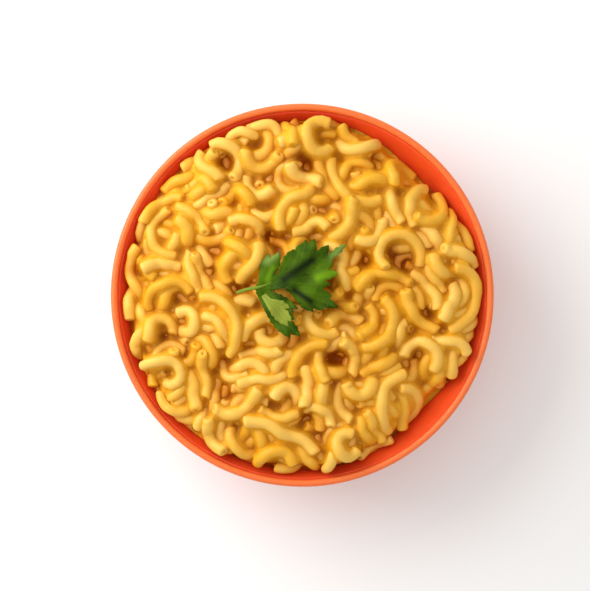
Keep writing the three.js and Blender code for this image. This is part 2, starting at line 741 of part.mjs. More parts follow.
// The sprig, let down on to the macaroni until it almost touches.
function parsley(macaroni) {
  const parts = [
    leaf(LOBES, 0),
    leaf(TURNED_LOBES, TURNED_RISE),
    stem(),
  ];
  const sprig = largestBody(wasm.Manifold.union(parts.map(solidFrom)));
  const isClear = (height) => sprig.translate([0, 0, height]).intersect(macaroni).isEmpty();
  let height = BOWL_HEIGHT + 3 * LAYER_STEP;
  while (isClear(height - RESTING_STEP)) height -= RESTING_STEP;
  return sprig.translate([0, 0, height + RESTING_GAP]);
}

const orange = new THREE.MeshStandardMaterial({ color: 0xf0582a, roughness: 0.35, metalness: 0 });
const cheesy = new THREE.MeshStandardMaterial({ color: 0xf0b040, roughness: 0.4, metalness: 0 });
const green = new THREE.MeshStandardMaterial({ color: 0x4f7d14, roughness: 0.45, metalness: 0 });

const part = new THREE.Group();
function addNode(name, geometry, material) {
  const mesh = new THREE.Mesh(geometry, material);
  mesh.name = name;
  part.add(mesh);
}

const pieces = scatter();
settle(pieces);
const macaroni = heap(shownRuns(pieces));
addNode("bowl", bowl(), orange);
addNode("macaroni", geometryFrom(macaroni), cheesy);
addNode("parsley", geometryFrom(parsley(macaroni)), green);

export default part;
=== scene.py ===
"""Macaroni cheese in a round orange bowl with a leaf of parsley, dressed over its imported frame."""
import logging
import math
from dataclasses import dataclass, field
from enum import Enum
from typing import Callable, Sequence, Union

import bpy
import numpy as np
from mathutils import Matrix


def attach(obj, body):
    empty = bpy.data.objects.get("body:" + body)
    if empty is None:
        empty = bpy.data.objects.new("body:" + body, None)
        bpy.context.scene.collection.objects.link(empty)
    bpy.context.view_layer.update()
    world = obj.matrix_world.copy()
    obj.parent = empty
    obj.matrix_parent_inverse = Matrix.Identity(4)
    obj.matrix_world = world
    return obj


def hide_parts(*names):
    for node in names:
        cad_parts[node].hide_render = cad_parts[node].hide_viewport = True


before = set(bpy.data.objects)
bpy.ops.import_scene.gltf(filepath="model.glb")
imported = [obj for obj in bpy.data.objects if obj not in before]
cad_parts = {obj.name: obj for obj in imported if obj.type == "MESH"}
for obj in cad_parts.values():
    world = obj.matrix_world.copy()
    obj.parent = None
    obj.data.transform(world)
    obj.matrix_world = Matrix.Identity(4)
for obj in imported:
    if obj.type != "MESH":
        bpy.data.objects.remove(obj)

LOG = logging.getLogger("macaroni")
Array = np.ndarray
Colour = tuple[float, float, float, float]
Place = tuple[float, float]
Input = Union["Socket", float, Sequence[float]]

MM = 0.001
BODY = "root"
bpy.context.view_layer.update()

# Driving sizes in millimetres, the same as in the solids
RIM_RADIUS = 95.0
BOWL_HEIGHT = 60.0
TUBE_RADIUS = 2.45
TUBE_RADIUS_RANGE = 0.65
LEAST_LENGTH = 21.0
WALL_REACH = 87.0

# In degrees: a listed curl that turns by less than the open turn is turned further
OPEN_TURN = 150.0
EXTRA_TURN = 50.0

# Each piece of macaroni is a chain of beads
BEADS = 9
LEGS = BEADS - 1

# The start of every run of random numbers, and a length that keeps sums from dividing by zero
SEED = 11
NEXT_TO_NOTHING = 1e-9


def srgb(red: int, green: int, blue: int) -> Colour:
    """A colour as the eye reads it, made linear for the shaders.

    Args:
        red: Red from 0 to 255.
        green: Green from 0 to 255.
        blue: Blue from 0 to 255.

    Returns:
        The linear colour with full alpha.
    """
    parts = [value / 255 for value in (red, green, blue)]
    linear = [p / 12.92 if p <= 0.04045 else ((p + 0.055) / 1.055) ** 2.4 for p in parts]
    return (linear[0], linear[1], linear[2], 1.0)


# Shader nodes


class Socket:
    """A node's output that sums can be written with."""

    def __init__(self, paint: "Paint", output: bpy.types.NodeSocket) -> None:
        """Wraps one output of a node in the paint's tree."""
        self.paint = paint
        self.output = output

    def _maths(self, operation: str, other: Input) -> "Socket":
        """Adds one Math node that takes this and other."""
        return self.paint.add("ShaderNodeMath", {0: self, 1: other}, {"operation": operation})

    def __add__(self, other: Input) -> "Socket":
        """This plus other."""
        return self._maths("ADD", other)

    __radd__ = __add__

    def __mul__(self, other: Input) -> "Socket":
        """This times other."""
        return self._maths("MULTIPLY", other)

    __rmul__ = __mul__

    def clamped(self) -> "Socket":
        """This held between 0 and 1."""
        return self.paint.add("ShaderNodeClamp", {"Value": self})


class Paint:
    """A material with one Principled shader, and the one method that adds nodes to it."""

    # Numbers of a Mix node's colour sockets, whose names are also those of its other sockets
    mix_factor = 0
    mix_first = 6
    mix_second = 7
    mix_result = 2

    def __init__(self, name: str) -> None:
        """Makes an empty material.

        Args:
            name: Name of the material.
        """
        self.material = bpy.data.materials.new(name)
        self.material.use_nodes = True
        self.tree = self.material.node_tree
        self.shader = self.tree.nodes["Principled BSDF"]

    def add(
        self,
        kind: str,
        inputs: dict[int | str, Input],
        settings: dict[str, str | bool] | None = None,
        output: int | str = 0,
    ) -> Socket:
        """Adds a node.

        Args:
            kind: The node's type.
            inputs: Values or links for its sockets, by name or number.
            settings: Its own settings, set first.
            output: The output wanted, by name or number.

        Returns:
            That output.
        """
        node = self.tree.nodes.new(kind)
        for key, value in (settings or {}).items():
            setattr(node, key, value)
        for key, value in inputs.items():
            self.feed(node.inputs[key], value)
        return Socket(self, node.outputs[output])

    def feed(self, socket: bpy.types.NodeSocket, value: Input) -> None:
        """Links or sets one input.

        Args:
            socket: The input.
            value: The number or colour that it is set to, or the output that it is linked to.
        """
        if isinstance(value, Socket):
            self.tree.links.new(value.output, socket)
        else:
            socket.default_value = value

    def finish(self, **inputs: Input) -> bpy.types.Material:
        """Feeds the shader.

        Args:
            **inputs: Values or links by the socket's name, with underscores for spaces.

        Returns:
            The finished material.
        """
        for key, value in inputs.items():
            self.feed(self.shader.inputs[key.replace("_", " ")], value)
        return self.material

    def mix(self, factor: Input, first: Input, second: Input) -> Socket:
        """Mixes two colours.

        Args:
            factor: Share of the second colour.
            first: First colour or link.
            second: Second colour or link.

        Returns:
            The mixed colour.
        """
        inputs = {self.mix_factor: factor, self.mix_first: first, self.mix_second: second}
        settings = {"data_type": "RGBA", "clamp_factor": True}
        return self.add("ShaderNodeMix", inputs, settings, self.mix_result)

    def place(self) -> Socket:
        """Place on the piece, in metres."""
        return self.add("ShaderNodeTexCoord", {}, output="Object")

    def height(self) -> Socket:
        """Height on the piece, in metres."""
        return self.add("ShaderNodeSeparateXYZ", {0: self.place()}, output="Z")

    def attribute(self, name: str) -> Socket:
        """A number stored on the mesh's points."""
        return self.add("ShaderNodeAttribute", {}, {"attribute_name": name}, output="Fac")

    def noise(self, size_mm: float, detail: float = 3.0, roughness: float = 0.5) -> Socket:
        """Soft noise from 0 to 1.

        Args:
            size_mm: Rough size of its patches.
            detail: Octaves of detail.
            roughness: Strength of the finer octaves.

        Returns:
            The noise.
        """
        inputs = {
            "Vector": self.place(),
            "Scale": 1 / MM / size_mm,
            "Detail": detail,
            "Roughness": roughness,
        }
        return self.add("ShaderNodeTexNoise", inputs)

    def span(self, value: Input, low: float, high: float) -> Socket:
        """A value stretched so that low is 0 and high is 1, and clamped."""
        inputs = {"Value": value, "From Min": low, "From Max": high}
        return self.add("ShaderNodeMapRange", inputs, {"clamp": True})

    def bump(self, height: Input, distance_mm: float, strength: float) -> Socket:
        """A Bump node's normal, where a height of 1 stands for the distance."""
        inputs = {"Height": height, "Distance": distance_mm * MM, "Strength": strength}
        return self.add("ShaderNodeBump", inputs)


@dataclass(frozen=True)
class GlossyPlastic:
    """Smooth orange plastic, faintly clouded, with painted light that makes the top of its rim
    paler, and fine marks in its gloss.
    """

    colour: Colour = srgb(236, 90, 38)
    cloud_colour: Colour = srgb(228, 76, 30)
    # Painted light: a paler orange for the top of the rim, as if lit from above
    painted_rim_light_colour: Colour = srgb(236, 118, 54)
    rim_height: float = BOWL_HEIGHT - 2.6
    rim_fade: float = 1.0
    roughness: float = 0.34
    worn_roughness: float = 0.1

    def material(self) -> bpy.types.Material:
        """Makes the plastic.

        Returns:
            Its material.
        """
        paint = Paint("orange_plastic")
        cloud = paint.noise(size_mm=38.0, detail=2.0)
        marks = paint.noise(size_mm=2.2, detail=4.0, roughness=0.6)
        worn = paint.span(cloud * 0.6 + marks * 0.4, low=0.35, high=0.7)
        rim_top = self.rim_height + self.rim_fade
        # Painted light: the rim's top turns paler above rim_height
        painted_rim_light = paint.span(paint.height(), low=self.rim_height * MM, high=rim_top * MM)
        wall = paint.mix(cloud, self.colour, self.cloud_colour)
        return paint.finish(
            Base_Color=paint.mix(painted_rim_light, wall, self.painted_rim_light_colour),
            Roughness=self.roughness + worn * self.worn_roughness,
            Normal=paint.bump(marks, distance_mm=0.02, strength=0.4),
            Subsurface_Weight=0.5,
            Subsurface_Radius=(1.0, 0.12, 0.04),
            Subsurface_Scale=6.0 * MM,
            Specular_IOR_Level=0.35,
        )


@dataclass(frozen=True)
class CookedPasta:
    """Yellow pasta under a thin coat of cheese sauce, with painted shade that darkens it where it
    lies low in the heap.
    """

    pale: Colour = srgb(240, 192, 88)
    middle: Colour = srgb(232, 170, 34)
    # Painted shade for pasta that lies low in the heap
    painted_shade: Colour = srgb(200, 116, 0)
    roughness: float = 0.4
    streak_roughness: float = 0.16

    def material(self) -> bpy.types.Material:
        """Makes the pasta.

        Returns:
            Its material.
        """
        paint = Paint("cooked_pasta")
        piece = paint.attribute("piece")
        depth = paint.attribute("depth")
        coat = paint.noise(size_mm=9.0)
        fine = paint.noise(size_mm=1.6, roughness=0.6)
        tone = (piece * 0.5 + coat * 0.38 + fine * 0.12).clamped()
        top = paint.mix(paint.span(tone, low=0.28, high=0.76), self.middle, self.pale)
        # Painted shade: darker where the piece lies far below the heap's broad surface
        colour = paint.mix(paint.span(depth, low=0.2, high=0.8), top, self.painted_shade)
        streak = paint.span(paint.noise(size_mm=4.0, detail=2.0), low=0.35, high=0.65)
        return paint.finish(
            Base_Color=colour,
            Roughness=self.roughness + streak * self.streak_roughness,
            Normal=paint.bump(coat * 0.7 + fine * 0.3, distance_mm=0.5, strength=0.5),
            Subsurface_Weight=0.3,
            Subsurface_Radius=(1.0, 0.7, 0.12),
            Subsurface_Scale=2.2 * MM,
            Specular_IOR_Level=0.3,
            Coat_Weight=0.06,
            Coat_Roughness=0.25,
        )


@dataclass(frozen=True)
class CheeseSauce:
    """Smooth cheese sauce that fills between the pieces, with painted shade where it lies low."""

    pale: Colour = srgb(234, 176, 50)
    middle: Colour = srgb(226, 158, 22)
    # Painted shade for sauce that lies low in the heap
    painted_shade: Colour = srgb(146, 68, 0)
    roughness: float = 0.36
    grain_roughness: float = 0.18

    def material(self) -> bpy.types.Material:
        """Makes the sauce.

        Returns:
            Its material.
        """
        paint = Paint("cheese_sauce")
        depth = paint.attribute("depth")
        pool = paint.noise(size_mm=14.0)
        fine = paint.noise(size_mm=2.0, roughness=0.6)
        top = paint.mix(paint.span(pool, low=0.35, high=0.65), self.middle, self.pale)
        return paint.finish(
            # Painted shade: darker where the sauce lies far below the heap's broad surface
            Base_Color=paint.mix(paint.span(depth, low=0.24, high=0.78), top, self.painted_shade),
            Roughness=self.roughness + fine * self.grain_roughness,
            Normal=paint.bump(pool * 0.6 + fine * 0.4, distance_mm=0.4, strength=0.6),
            Subsurface_Weight=0.3,
            Subsurface_Radius=(1.0, 0.75, 0.2),
            Subsurface_Scale=1.6 * MM,
            Specular_IOR_Level=0.12,
        )


@dataclass(frozen=True)
class FreshLeaf:
    """Green parsley, with pale veins, a paler underside, a satin face, and patches of painted shade
    and painted light.
    """

    # Painted shade and painted light for the leaf's shaded and lit patches
    shaded: Colour = srgb(18, 34, 0)
    dark: Colour = srgb(40, 66, 0)
    light: Colour = srgb(72, 104, 0)
    painted_light: Colour = srgb(108, 150, 14)
    vein: Colour = srgb(96, 128, 8)
    pale_tip: Colour = srgb(112, 138, 58)
    underside: Colour = srgb(136, 146, 52)
    stalk: Colour = srgb(118, 138, 42)
    vein_strength: float = 0.35
    underside_vein_strength: float = 0.4
    roughness: float = 0.5
    grain_roughness: float = 0.2

    def material(self) -> bpy.types.Material:
        """Makes the leaf.

        Returns:
            Its material.
        """
        paint = Paint("fresh_leaf")
        veins = paint.attribute("vein")
        under = paint.attribute("under")
        stalk = paint.attribute("stalk")
        tone = paint.noise(size_mm=9.0)
        fine = paint.noise(size_mm=1.2, detail=4.0, roughness=0.65)
        blade = paint.mix(paint.span(tone, low=0.34, high=0.66), self.dark, self.light)
        # Painted light on the lit patch of the blade
        blade = paint.mix(paint.attribute("painted_light"), blade, self.painted_light)
        blade = paint.mix(veins * self.vein_strength, blade, self.vein)
        # Painted shade on the shaded patches of the blade
        blade = paint.mix(paint.attribute("shaded"), blade, self.shaded)
        blade = paint.mix(paint.attribute("pale_tip"), blade, self.pale_tip)
        pale = paint.mix(veins * self.underside_vein_strength, self.underside, self.vein)
        relief = veins * -0.5 + fine * 0.35 + tone * 0.4
        return paint.finish(
            Base_Color=paint.mix(stalk, paint.mix(under, blade, pale), self.stalk),
            Roughness=self.roughness + fine * self.grain_roughness,
            Normal=paint.bump(relief, distance_mm=0.35, strength=0.7),
            Subsurface_Weight=0.15,
            Subsurface_Radius=(0.3, 0.6, 0.1),
            Subsurface_Scale=1.0 * MM,
            Specular_IOR_Level=0.1,
        )


@dataclass(frozen=True)
class PaleCard:
    """The plain pale floor."""

    colour: Colour = srgb(250, 250, 249)
    cloud_colour: Colour = srgb(242, 241, 240)
    cloud_strength: float = 0.12
    roughness: float = 0.85

    def material(self) -> bpy.types.Material:
        """Makes the card.

        Returns:
            Its material.
        """
        paint = Paint("pale_card")
        cloud = paint.noise(size_mm=30.0) * self.cloud_strength
        shade = paint.mix(cloud, self.colour, self.cloud_colour)
        return paint.finish(Base_Color=shade, Roughness=self.roughness)


# Shared mesh tools


def clear_selection() -> None:
    """Leaves object mode with nothing selected, so that an operator acts on new pieces alone."""
    if bpy.context.mode != "OBJECT":
        bpy.ops.object.mode_set(mode="OBJECT")
    bpy.ops.object.select_all(action="DESELECT")


def mesh_object(name: str, points: Array, faces: Sequence[Sequence[int]]) -> bpy.types.Object:
    """Makes an object from arrays.

    Args:
        name: Name of the object.
        points: Places of its points, in millimetres.
        faces: Point numbers round each face, anticlockwise from outside.

    Returns:
        The object, at the origin, smooth shaded.
    """
    mesh = bpy.data.meshes.new(name)
    mesh.from_pydata((points * MM).tolist(), [], faces)
    mesh.polygons.foreach_set("use_smooth", np.ones(len(mesh.polygons), bool))
    mesh.update()
    made = bpy.data.objects.new(name, mesh)
    bpy.context.scene.collection.objects.link(made)
    return made


def store(piece: bpy.types.Object, name: str, values: Array) -> None:
    """Keeps one number for each of the piece's points, for its material."""
    attribute = piece.data.attributes.new(name, "FLOAT", "POINT")
    attribute.data.foreach_set("value", np.ascontiguousarray(values, np.float32))


def declare(piece: bpy.types.Object, node: str, material: bpy.types.Material) -> None:
    """Gives a piece its material, puts it in its body, hides the solid that it stands for and logs
    its faces.

    Args:
        piece: The finished piece.
        node: The solid that it stands for.
        material: Its material.
    """
    piece.data.materials.clear()
    piece.data.materials.append(material)
    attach(piece, BODY)
    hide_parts(node)
    LOG.info("%s: %d faces", piece.name, len(piece.data.polygons))


def smooth_step(value: Array, low: float, high: float) -> Array:
    """An even rise from 0 at low to 1 at high."""
    share = np.clip((value - low) / (high - low), 0, 1)
    return share * share * (3 - 2 * share)


def unit(directions: Array) -> Array:
    """Directions made one unit long."""
    return directions / np.linalg.norm(directions, axis=-1, keepdims=True)


def ring_angles(sides: int) -> Array:
    """Angles of the points round a ring."""
    return np.arange(sides) * 2 * math.pi / sides


def tube_points(middle: Array, across: Array, upward: Array, radius: Array) -> Array:
    """Points round a centreline.

    Args:
        middle: Places along the centreline.
        across: Direction of each ring's first point.
        upward: Direction a quarter turn further on.
        radius: Radius by place and point.

    Returns:
        The points by place and point round the ring.
    """
    theta = ring_angles(radius.shape[-1])[:, None]
    radius = radius[..., None]
    points = middle[..., None, :] + radius * (np.cos(theta) * across[..., None, :])
    return points + radius * (np.sin(theta) * upward[..., None, :])


def tube_faces(rings: int, sides: int) -> tuple[Array, Array, Array]:
    """Faces of a closed tube, whose points run ring by ring and end with one for each end.

    Args:
        rings: Number of rings along it.
        sides: Number of points round a ring.

    Returns:
        The four-sided faces along it, and the three-sided ones that close its start and its end.
    """
    fan = np.arange(sides)
    ahead = (fan + 1) % sides
    row = np.arange(rings - 1)[:, None] * sides
    a, b = (row + fan).ravel(), (row + ahead).ravel()
    along = np.stack([a, b, b + sides, a + sides], 1)
    size, last = rings * sides, (rings - 1) * sides
    start = np.stack([np.full(sides, size), ahead, fan], 1)
    end = np.stack([np.full(sides, size + 1), last + fan, last + ahead], 1)
    return along, start, end


# Bowl


@dataclass
class Bowl:
    """The round bowl: a lathe-turned wall, a rolled rim with a step inside it, and a foot."""

    rim_radius: float = RIM_RADIUS
    height: float = BOWL_HEIGHT
    rim_width: float = 3.4
    rim_steps: int = 12
    ledge_width: float = 1.1
    ledge_drop: float = 2.2
    ledge_corner: float = 0.25
    ledge_lift: float = 0.3
    ledge_slope: float = 0.4
    skirt_depth: float = 1.0
    skirt_corner: float = 0.5
    wall: float = 2.6
    wall_pull: tuple[float, float] = (0.8, 0.5)
    wall_steps: int = 26
    solid_steps: int = 7
    fine_steps: int = 40
    foot_radius: float = 42.0
    foot_width: float = 4.0
    foot_fillet: float = 1.5
    skirt_gap: float = 0.4
    floor_radius: float = 32.0
    floor_height: float = 6.0
    turns: int = 160
    sharp_degrees: float = 50.0
    weld: float = 0.02
    finish: GlossyPlastic = field(default_factory=GlossyPlastic)

    @property
    def ledge_radius(self) -> float:
        """Radius where the wall meets the step."""
        return self.rim_radius - self.rim_width - self.ledge_width

    @property
    def ledge_height(self) -> float:
        """Height where the wall meets the step."""
        return self.height - self.rim_width / 2 - self.ledge_drop

    @property
    def skirt_height(self) -> float:
        """Height of the rim's lower edge on the outside."""
        return self.height - self.rim_width - self.skirt_depth

    def wall_curve(self, steps: int, offset: float = 0.0) -> Array:
        """Points up the inner wall.

        Args:
            steps: Number of steps from the floor to the ledge.
            offset: Distance that the points are moved, outwards through the wall.

        Returns:
            Rows of radius and height.
        """
        ends = np.array(
            [
                [self.floor_radius, self.floor_height],
                [2 * self.floor_radius, self.floor_height],
                [self.wall_pull[0] * self.rim_radius, self.wall_pull[1] * self.height],
                [self.ledge_radius, self.ledge_height],
            ]
        )
        t = np.linspace(0, 1, steps + 1)[:, None]
        s = 1 - t
        curve = s**3 * ends[0] + 3 * s * s * t * ends[1] + 3 * s * t * t * ends[2] + t**3 * ends[3]
        slope = s * s * (ends[1] - ends[0]) + 2 * s * t * (ends[2] - ends[1])
        slope = unit(slope + t * t * (ends[3] - ends[2]))
        return curve + offset * np.stack([slope[:, 1], -slope[:, 0]], 1)

    def inner_radius(self, height: Array) -> Array:
        """Radius of the inner wall at a height, on the same steps as the solid."""
        curve = self.wall_curve(self.solid_steps)
        return np.interp(height, curve[1:, 1], curve[1:, 0])

    def inner_height(self, radius: Array) -> Array:
        """Height of the inner wall at a radius."""
        curve = self.wall_curve(self.fine_steps)
        return np.interp(radius, curve[:, 0], curve[:, 1])

    def _inside(self) -> list[Place]:
        """Points from the floor's middle up the wall and over the step below the rim.

        Returns:
            Radius and height of each.
        """
        floor = [(0.0, self.floor_height), (self.floor_radius / 2, self.floor_height)]
        wall = [tuple(point) for point in self.wall_curve(self.wall_steps)]
        near, far = self.ledge_radius, self.ledge_radius + self.ledge_width
        top = self.ledge_height + self.ledge_lift
        corner = self.ledge_corner
        step = [(near + corner, top), (far - corner, top), (far, top + self.ledge_slope)]
        return [*floor, *wall, *step]

    def _rim(self) -> list[Place]:
        """Points over the rolled rim and down its short skirt.

        Returns:
            Radius and height of each.
        """
        lip = self.rim_width / 2
        radius, height = self.rim_radius - lip, self.height - lip
        angles = np.linspace(math.pi, 0, self.rim_steps + 1)
        over = [(radius + lip * math.cos(a), height + lip * math.sin(a)) for a in angles]
        skirt, corner = self.skirt_height, self.skirt_corner
        return [*over, (self.rim_radius, skirt + corner), (self.rim_radius - corner, skirt)]

    def _outside(self) -> list[Place]:
        """Points down the outer wall and round the foot, whose corners are eased with points given
        one by one.

        Returns:
            Radius and height of each, as far as the middle of the underside.
        """
        base = self.floor_height - self.wall
        outer, inner = self.foot_radius, self.foot_radius - self.foot_width
        wall = [tuple(point) for point in self.wall_curve(self.wall_steps, self.wall)[::-1]]
        lowest, highest = outer + self.foot_fillet, self.skirt_height - self.skirt_gap
        wall = [point for point in wall if lowest < point[0] and point[1] < highest]
        foot = [
            (outer + 0.8, base + 0.2),
            (outer + 0.3, base - 0.4),
            (outer + 0.1, 0.5),
            (outer - 0.4, 0.0),
            (inner + 0.4, 0.0),
            (inner - 0.1, 0.5),
            (inner - 0.4, base - 0.4),
            (inner - 0.9, base),
            (inner / 2, base),
        ]
        return [*wall, *foot, (0.0, base)]

    def build(self) -> bpy.types.Object:
        """Draws the section point by point and spins it.

        Returns:
            The dressed bowl.
        """
        clear_selection()
        bpy.ops.mesh.primitive_plane_add(size=MM)
        piece = bpy.context.object
        piece.name = piece.data.name = "bowl_dressed"
        bpy.ops.object.mode_set(mode="EDIT")
        bpy.ops.mesh.merge(type="CENTER")
        points = [*self._inside(), *self._rim(), *self._outside()]
        bpy.ops.transform.translate(value=(0.0, 0.0, points[0][1] * MM))
        for before, after in zip(points, points[1:]):
            move = ((after[0] - before[0]) * MM, 0.0, (after[1] - before[1]) * MM)
            bpy.ops.mesh.extrude_region_move(TRANSFORM_OT_translate={"value": move})
        bpy.ops.mesh.select_all(action="SELECT")
        upright = {"center": (0, 0, 0), "axis": (0, 0, 1)}
        bpy.ops.mesh.spin(steps=self.turns, angle=2 * math.pi, use_auto_merge=True, **upright)
        bpy.ops.mesh.select_all(action="SELECT")
        bpy.ops.mesh.remove_doubles(threshold=self.weld * MM)
        bpy.ops.mesh.normals_make_consistent(inside=False)
        bpy.ops.object.mode_set(mode="OBJECT")
        bpy.ops.object.shade_smooth_by_angle(angle=math.radians(self.sharp_degrees))
        declare(piece, "bowl", self.finish.material())
        return piece


# Heap


class Stream:
    """Random numbers from 0 to 1, the same on every run and the same as the solids'."""

    stride = 0x6D2B79F5
    mask = 0xFFFFFFFF

    def __init__(self, seed: int) -> None:
        """Starts the stream."""
        self.state = seed

    def draw(self) -> float:
        """Mixes the bits of the next state.

        Returns:
            The next number.
        """
        self.state = (self.state + self.stride) & self.mask
        t = self.state
        t = ((t ^ (t >> 15)) * (t | 1)) & self.mask
        t ^= (t + (((t ^ (t >> 7)) * (t | 61)) & self.mask)) & self.mask
        return ((t ^ (t >> 14)) & self.mask) / (self.mask + 1)


@dataclass
class Bed:
    """The surface under the loose pieces: domed, lower at two sides, with a dimple."""

    radius: float = 87.0
    outermost: float = 1.2
    edge: float = 50.5
    rise: float = 8.5
    dome_power: float = 2.2
    shy_angles: tuple[float, float] = (45.0, -45.0)
    shy_half_angle: float = 0.3
    shy_drop: float = 10.5
    shy_power: int = 5
    dimple: Place = (13.0, -1.0)
    dimple_radius: float = 15.0
    dimple_depth: float = 5.0

    def shyness(self, angle: Array) -> Array:
        """How far a direction lies in a side where the heap stops short.

        Args:
            angle: Directions from the middle.

        Returns:
            1 in the middle of such a side, fading to 0 away from it.
        """
        total = 0.0
        for degrees in self.shy_angles:
            off = angle - math.radians(degrees)
            turn = np.arctan2(np.sin(off), np.cos(off))
            total = total + np.exp(-((turn / self.shy_half_angle) ** 2))
        return total

    def height(self, x: Array, y: Array) -> Array:
        """Height of the bed.

        Args:
            x: Places across.
            y: Places up the plan.

        Returns:
            The height at each place.
        """
        reach = np.minimum(np.hypot(x, y) / self.radius, self.outermost)
        shyness = self.shyness(np.arctan2(y, x))
        height = self.edge + self.rise * (1 - reach**self.dome_power)
        height = height - self.shy_drop * shyness * np.minimum(reach, 1) ** self.shy_power
        from_dimple = (x - self.dimple[0]) ** 2 + (y - self.dimple[1]) ** 2
        return height - self.dimple_depth * np.exp(-from_dimple / self.dimple_radius**2)


@dataclass(frozen=True)
class Curl:
    """A listed piece: where it starts and ends on the plan and how far it turns."""

    start: Place
    end: Place
    degrees: float
    begin: float = 1.0

    def points(self) -> Array:
        """Its centreline on the plan, an open curl turned further and moved clear of the wall.

        Returns:
            The place of each of its beads.
        """
        k = np.arange(LEGS)
        share = (self.begin + (1 - self.begin) * (2 * k + 1) / LEGS) / LEGS
        extra = EXTRA_TURN if abs(self.degrees) < OPEN_TURN else 0.0
        total = math.radians(self.degrees + math.copysign(extra, self.degrees))
        steps = np.exp(1j * (total * (np.cumsum(share) - share / 2)))
        run = np.concatenate([[0], np.cumsum(steps)])
        chord = complex(*self.end) - complex(*self.start)
        run = run * chord / run[-1] + complex(*self.start)
        middle = (complex(*self.start) + complex(*self.end)) / 2
        longer = max(1.0, LEAST_LENGTH / (LEGS * abs(run[1] - run[0])))
        run = (run - middle) * longer + middle
        run -= max(0.0, np.abs(run).max() - WALL_REACH) * middle / abs(middle)
        return np.stack([run.real, run.imag], 1)


# The curls that show uppermost, and those that show just beneath them
UPPERMOST = [
    Curl((10.5, 86.5), (11, 75), 266),
    Curl((-12, 87), (-5, 71), -20),
    Curl((19, 82), (38, 80), 180, 0.8),
    Curl((-48, 75), (-38, 57), -165),
    Curl((-29, 71), (-11, 71), 165),
    Curl((-37, 44), (-27, 44), -240),
    Curl((-64, 40.5), (-63, 18.5), 185),
    Curl((-60, 47.5), (-81, 36), 40),
    Curl((-86, 24), (-82, 2), 120, 0.8),
    Curl((6, 52), (-7, 33), 170),
    Curl((24, 47), (15, 28), -80),
    Curl((-4, 66), (11, 56), 40),
    Curl((13, 67), (37, 47), 80, 0.8),
    Curl((56, 61), (40, 51), 185),
    Curl((60, 49.5), (54, 32), 170, 1.1),
    Curl((42, 51), (50, 34), 12),
    Curl((55, 38), (76, 47), 75),
    Curl((42, 15), (60, 16), -250, 1.3),
    Curl((76, 12), (75, -17), -130, 1.5),
    Curl((53, 9), (68, -7), -30),
    Curl((52, 2), (65, -17), 75),
    Curl((37, -4), (31, -25), -190),
    Curl((70, -23), (84, -28), -25),
    Curl((50, -30), (64, -35), -230),
    Curl((50, -38), (43, -67), 85, 1.5),
    Curl((23.8, -68.5), (26.1, -73.5), 300),
    Curl((-28, -63.5), (3, -79), -55),
    Curl((-23, -87), (-9, -87), -210),
    Curl((-52, 0), (-38, -28), -100),
    Curl((-31, -20), (-11, -14), -75),
    Curl((-6, -38), (11, -24), -75),
    Curl((-31, -42), (-10, -35), 55),
    Curl((-43, -52), (-22, -45), 150),
    Curl((-49, -62), (-40, -80), 60),
    Curl((-84, -41), (-72, -44), -270, 0.1),
    Curl((-54, 21), (-51, 1), 25),
    Curl((-74, 8), (-58, 14), -60),
    Curl((-47, -27), (-44, -50), 20),
    Curl((-61, -11), (-61, -19), -270),
    Curl((-74, -22), (-64, -20), -250),
    Curl((71, 22), (89, 19), -20),
    Curl((74, 40), (71, 26), 30),
    Curl((63, 19), (73, 15), 200),
    Curl((21, -42), (32, -42), 200),
    Curl((19, -21), (24, -38), -70),
    Curl((3, -57), (15, -63), -120),
    Curl((-20, -52), (-3, -60), 50),
    Curl((4, -36), (8, -55), 25),
    Curl((22, 88), (31, 71), 40),
    Curl((-54, 50), (-44, 50), -220),
    Curl((-37, 27), (-20, 24), 50),
    Curl((-29, 24), (-38, 6), 55),
    Curl((-19, 26), (-28, 7), 45),
    Curl((-75, -6), (-54, 0), -130),
]
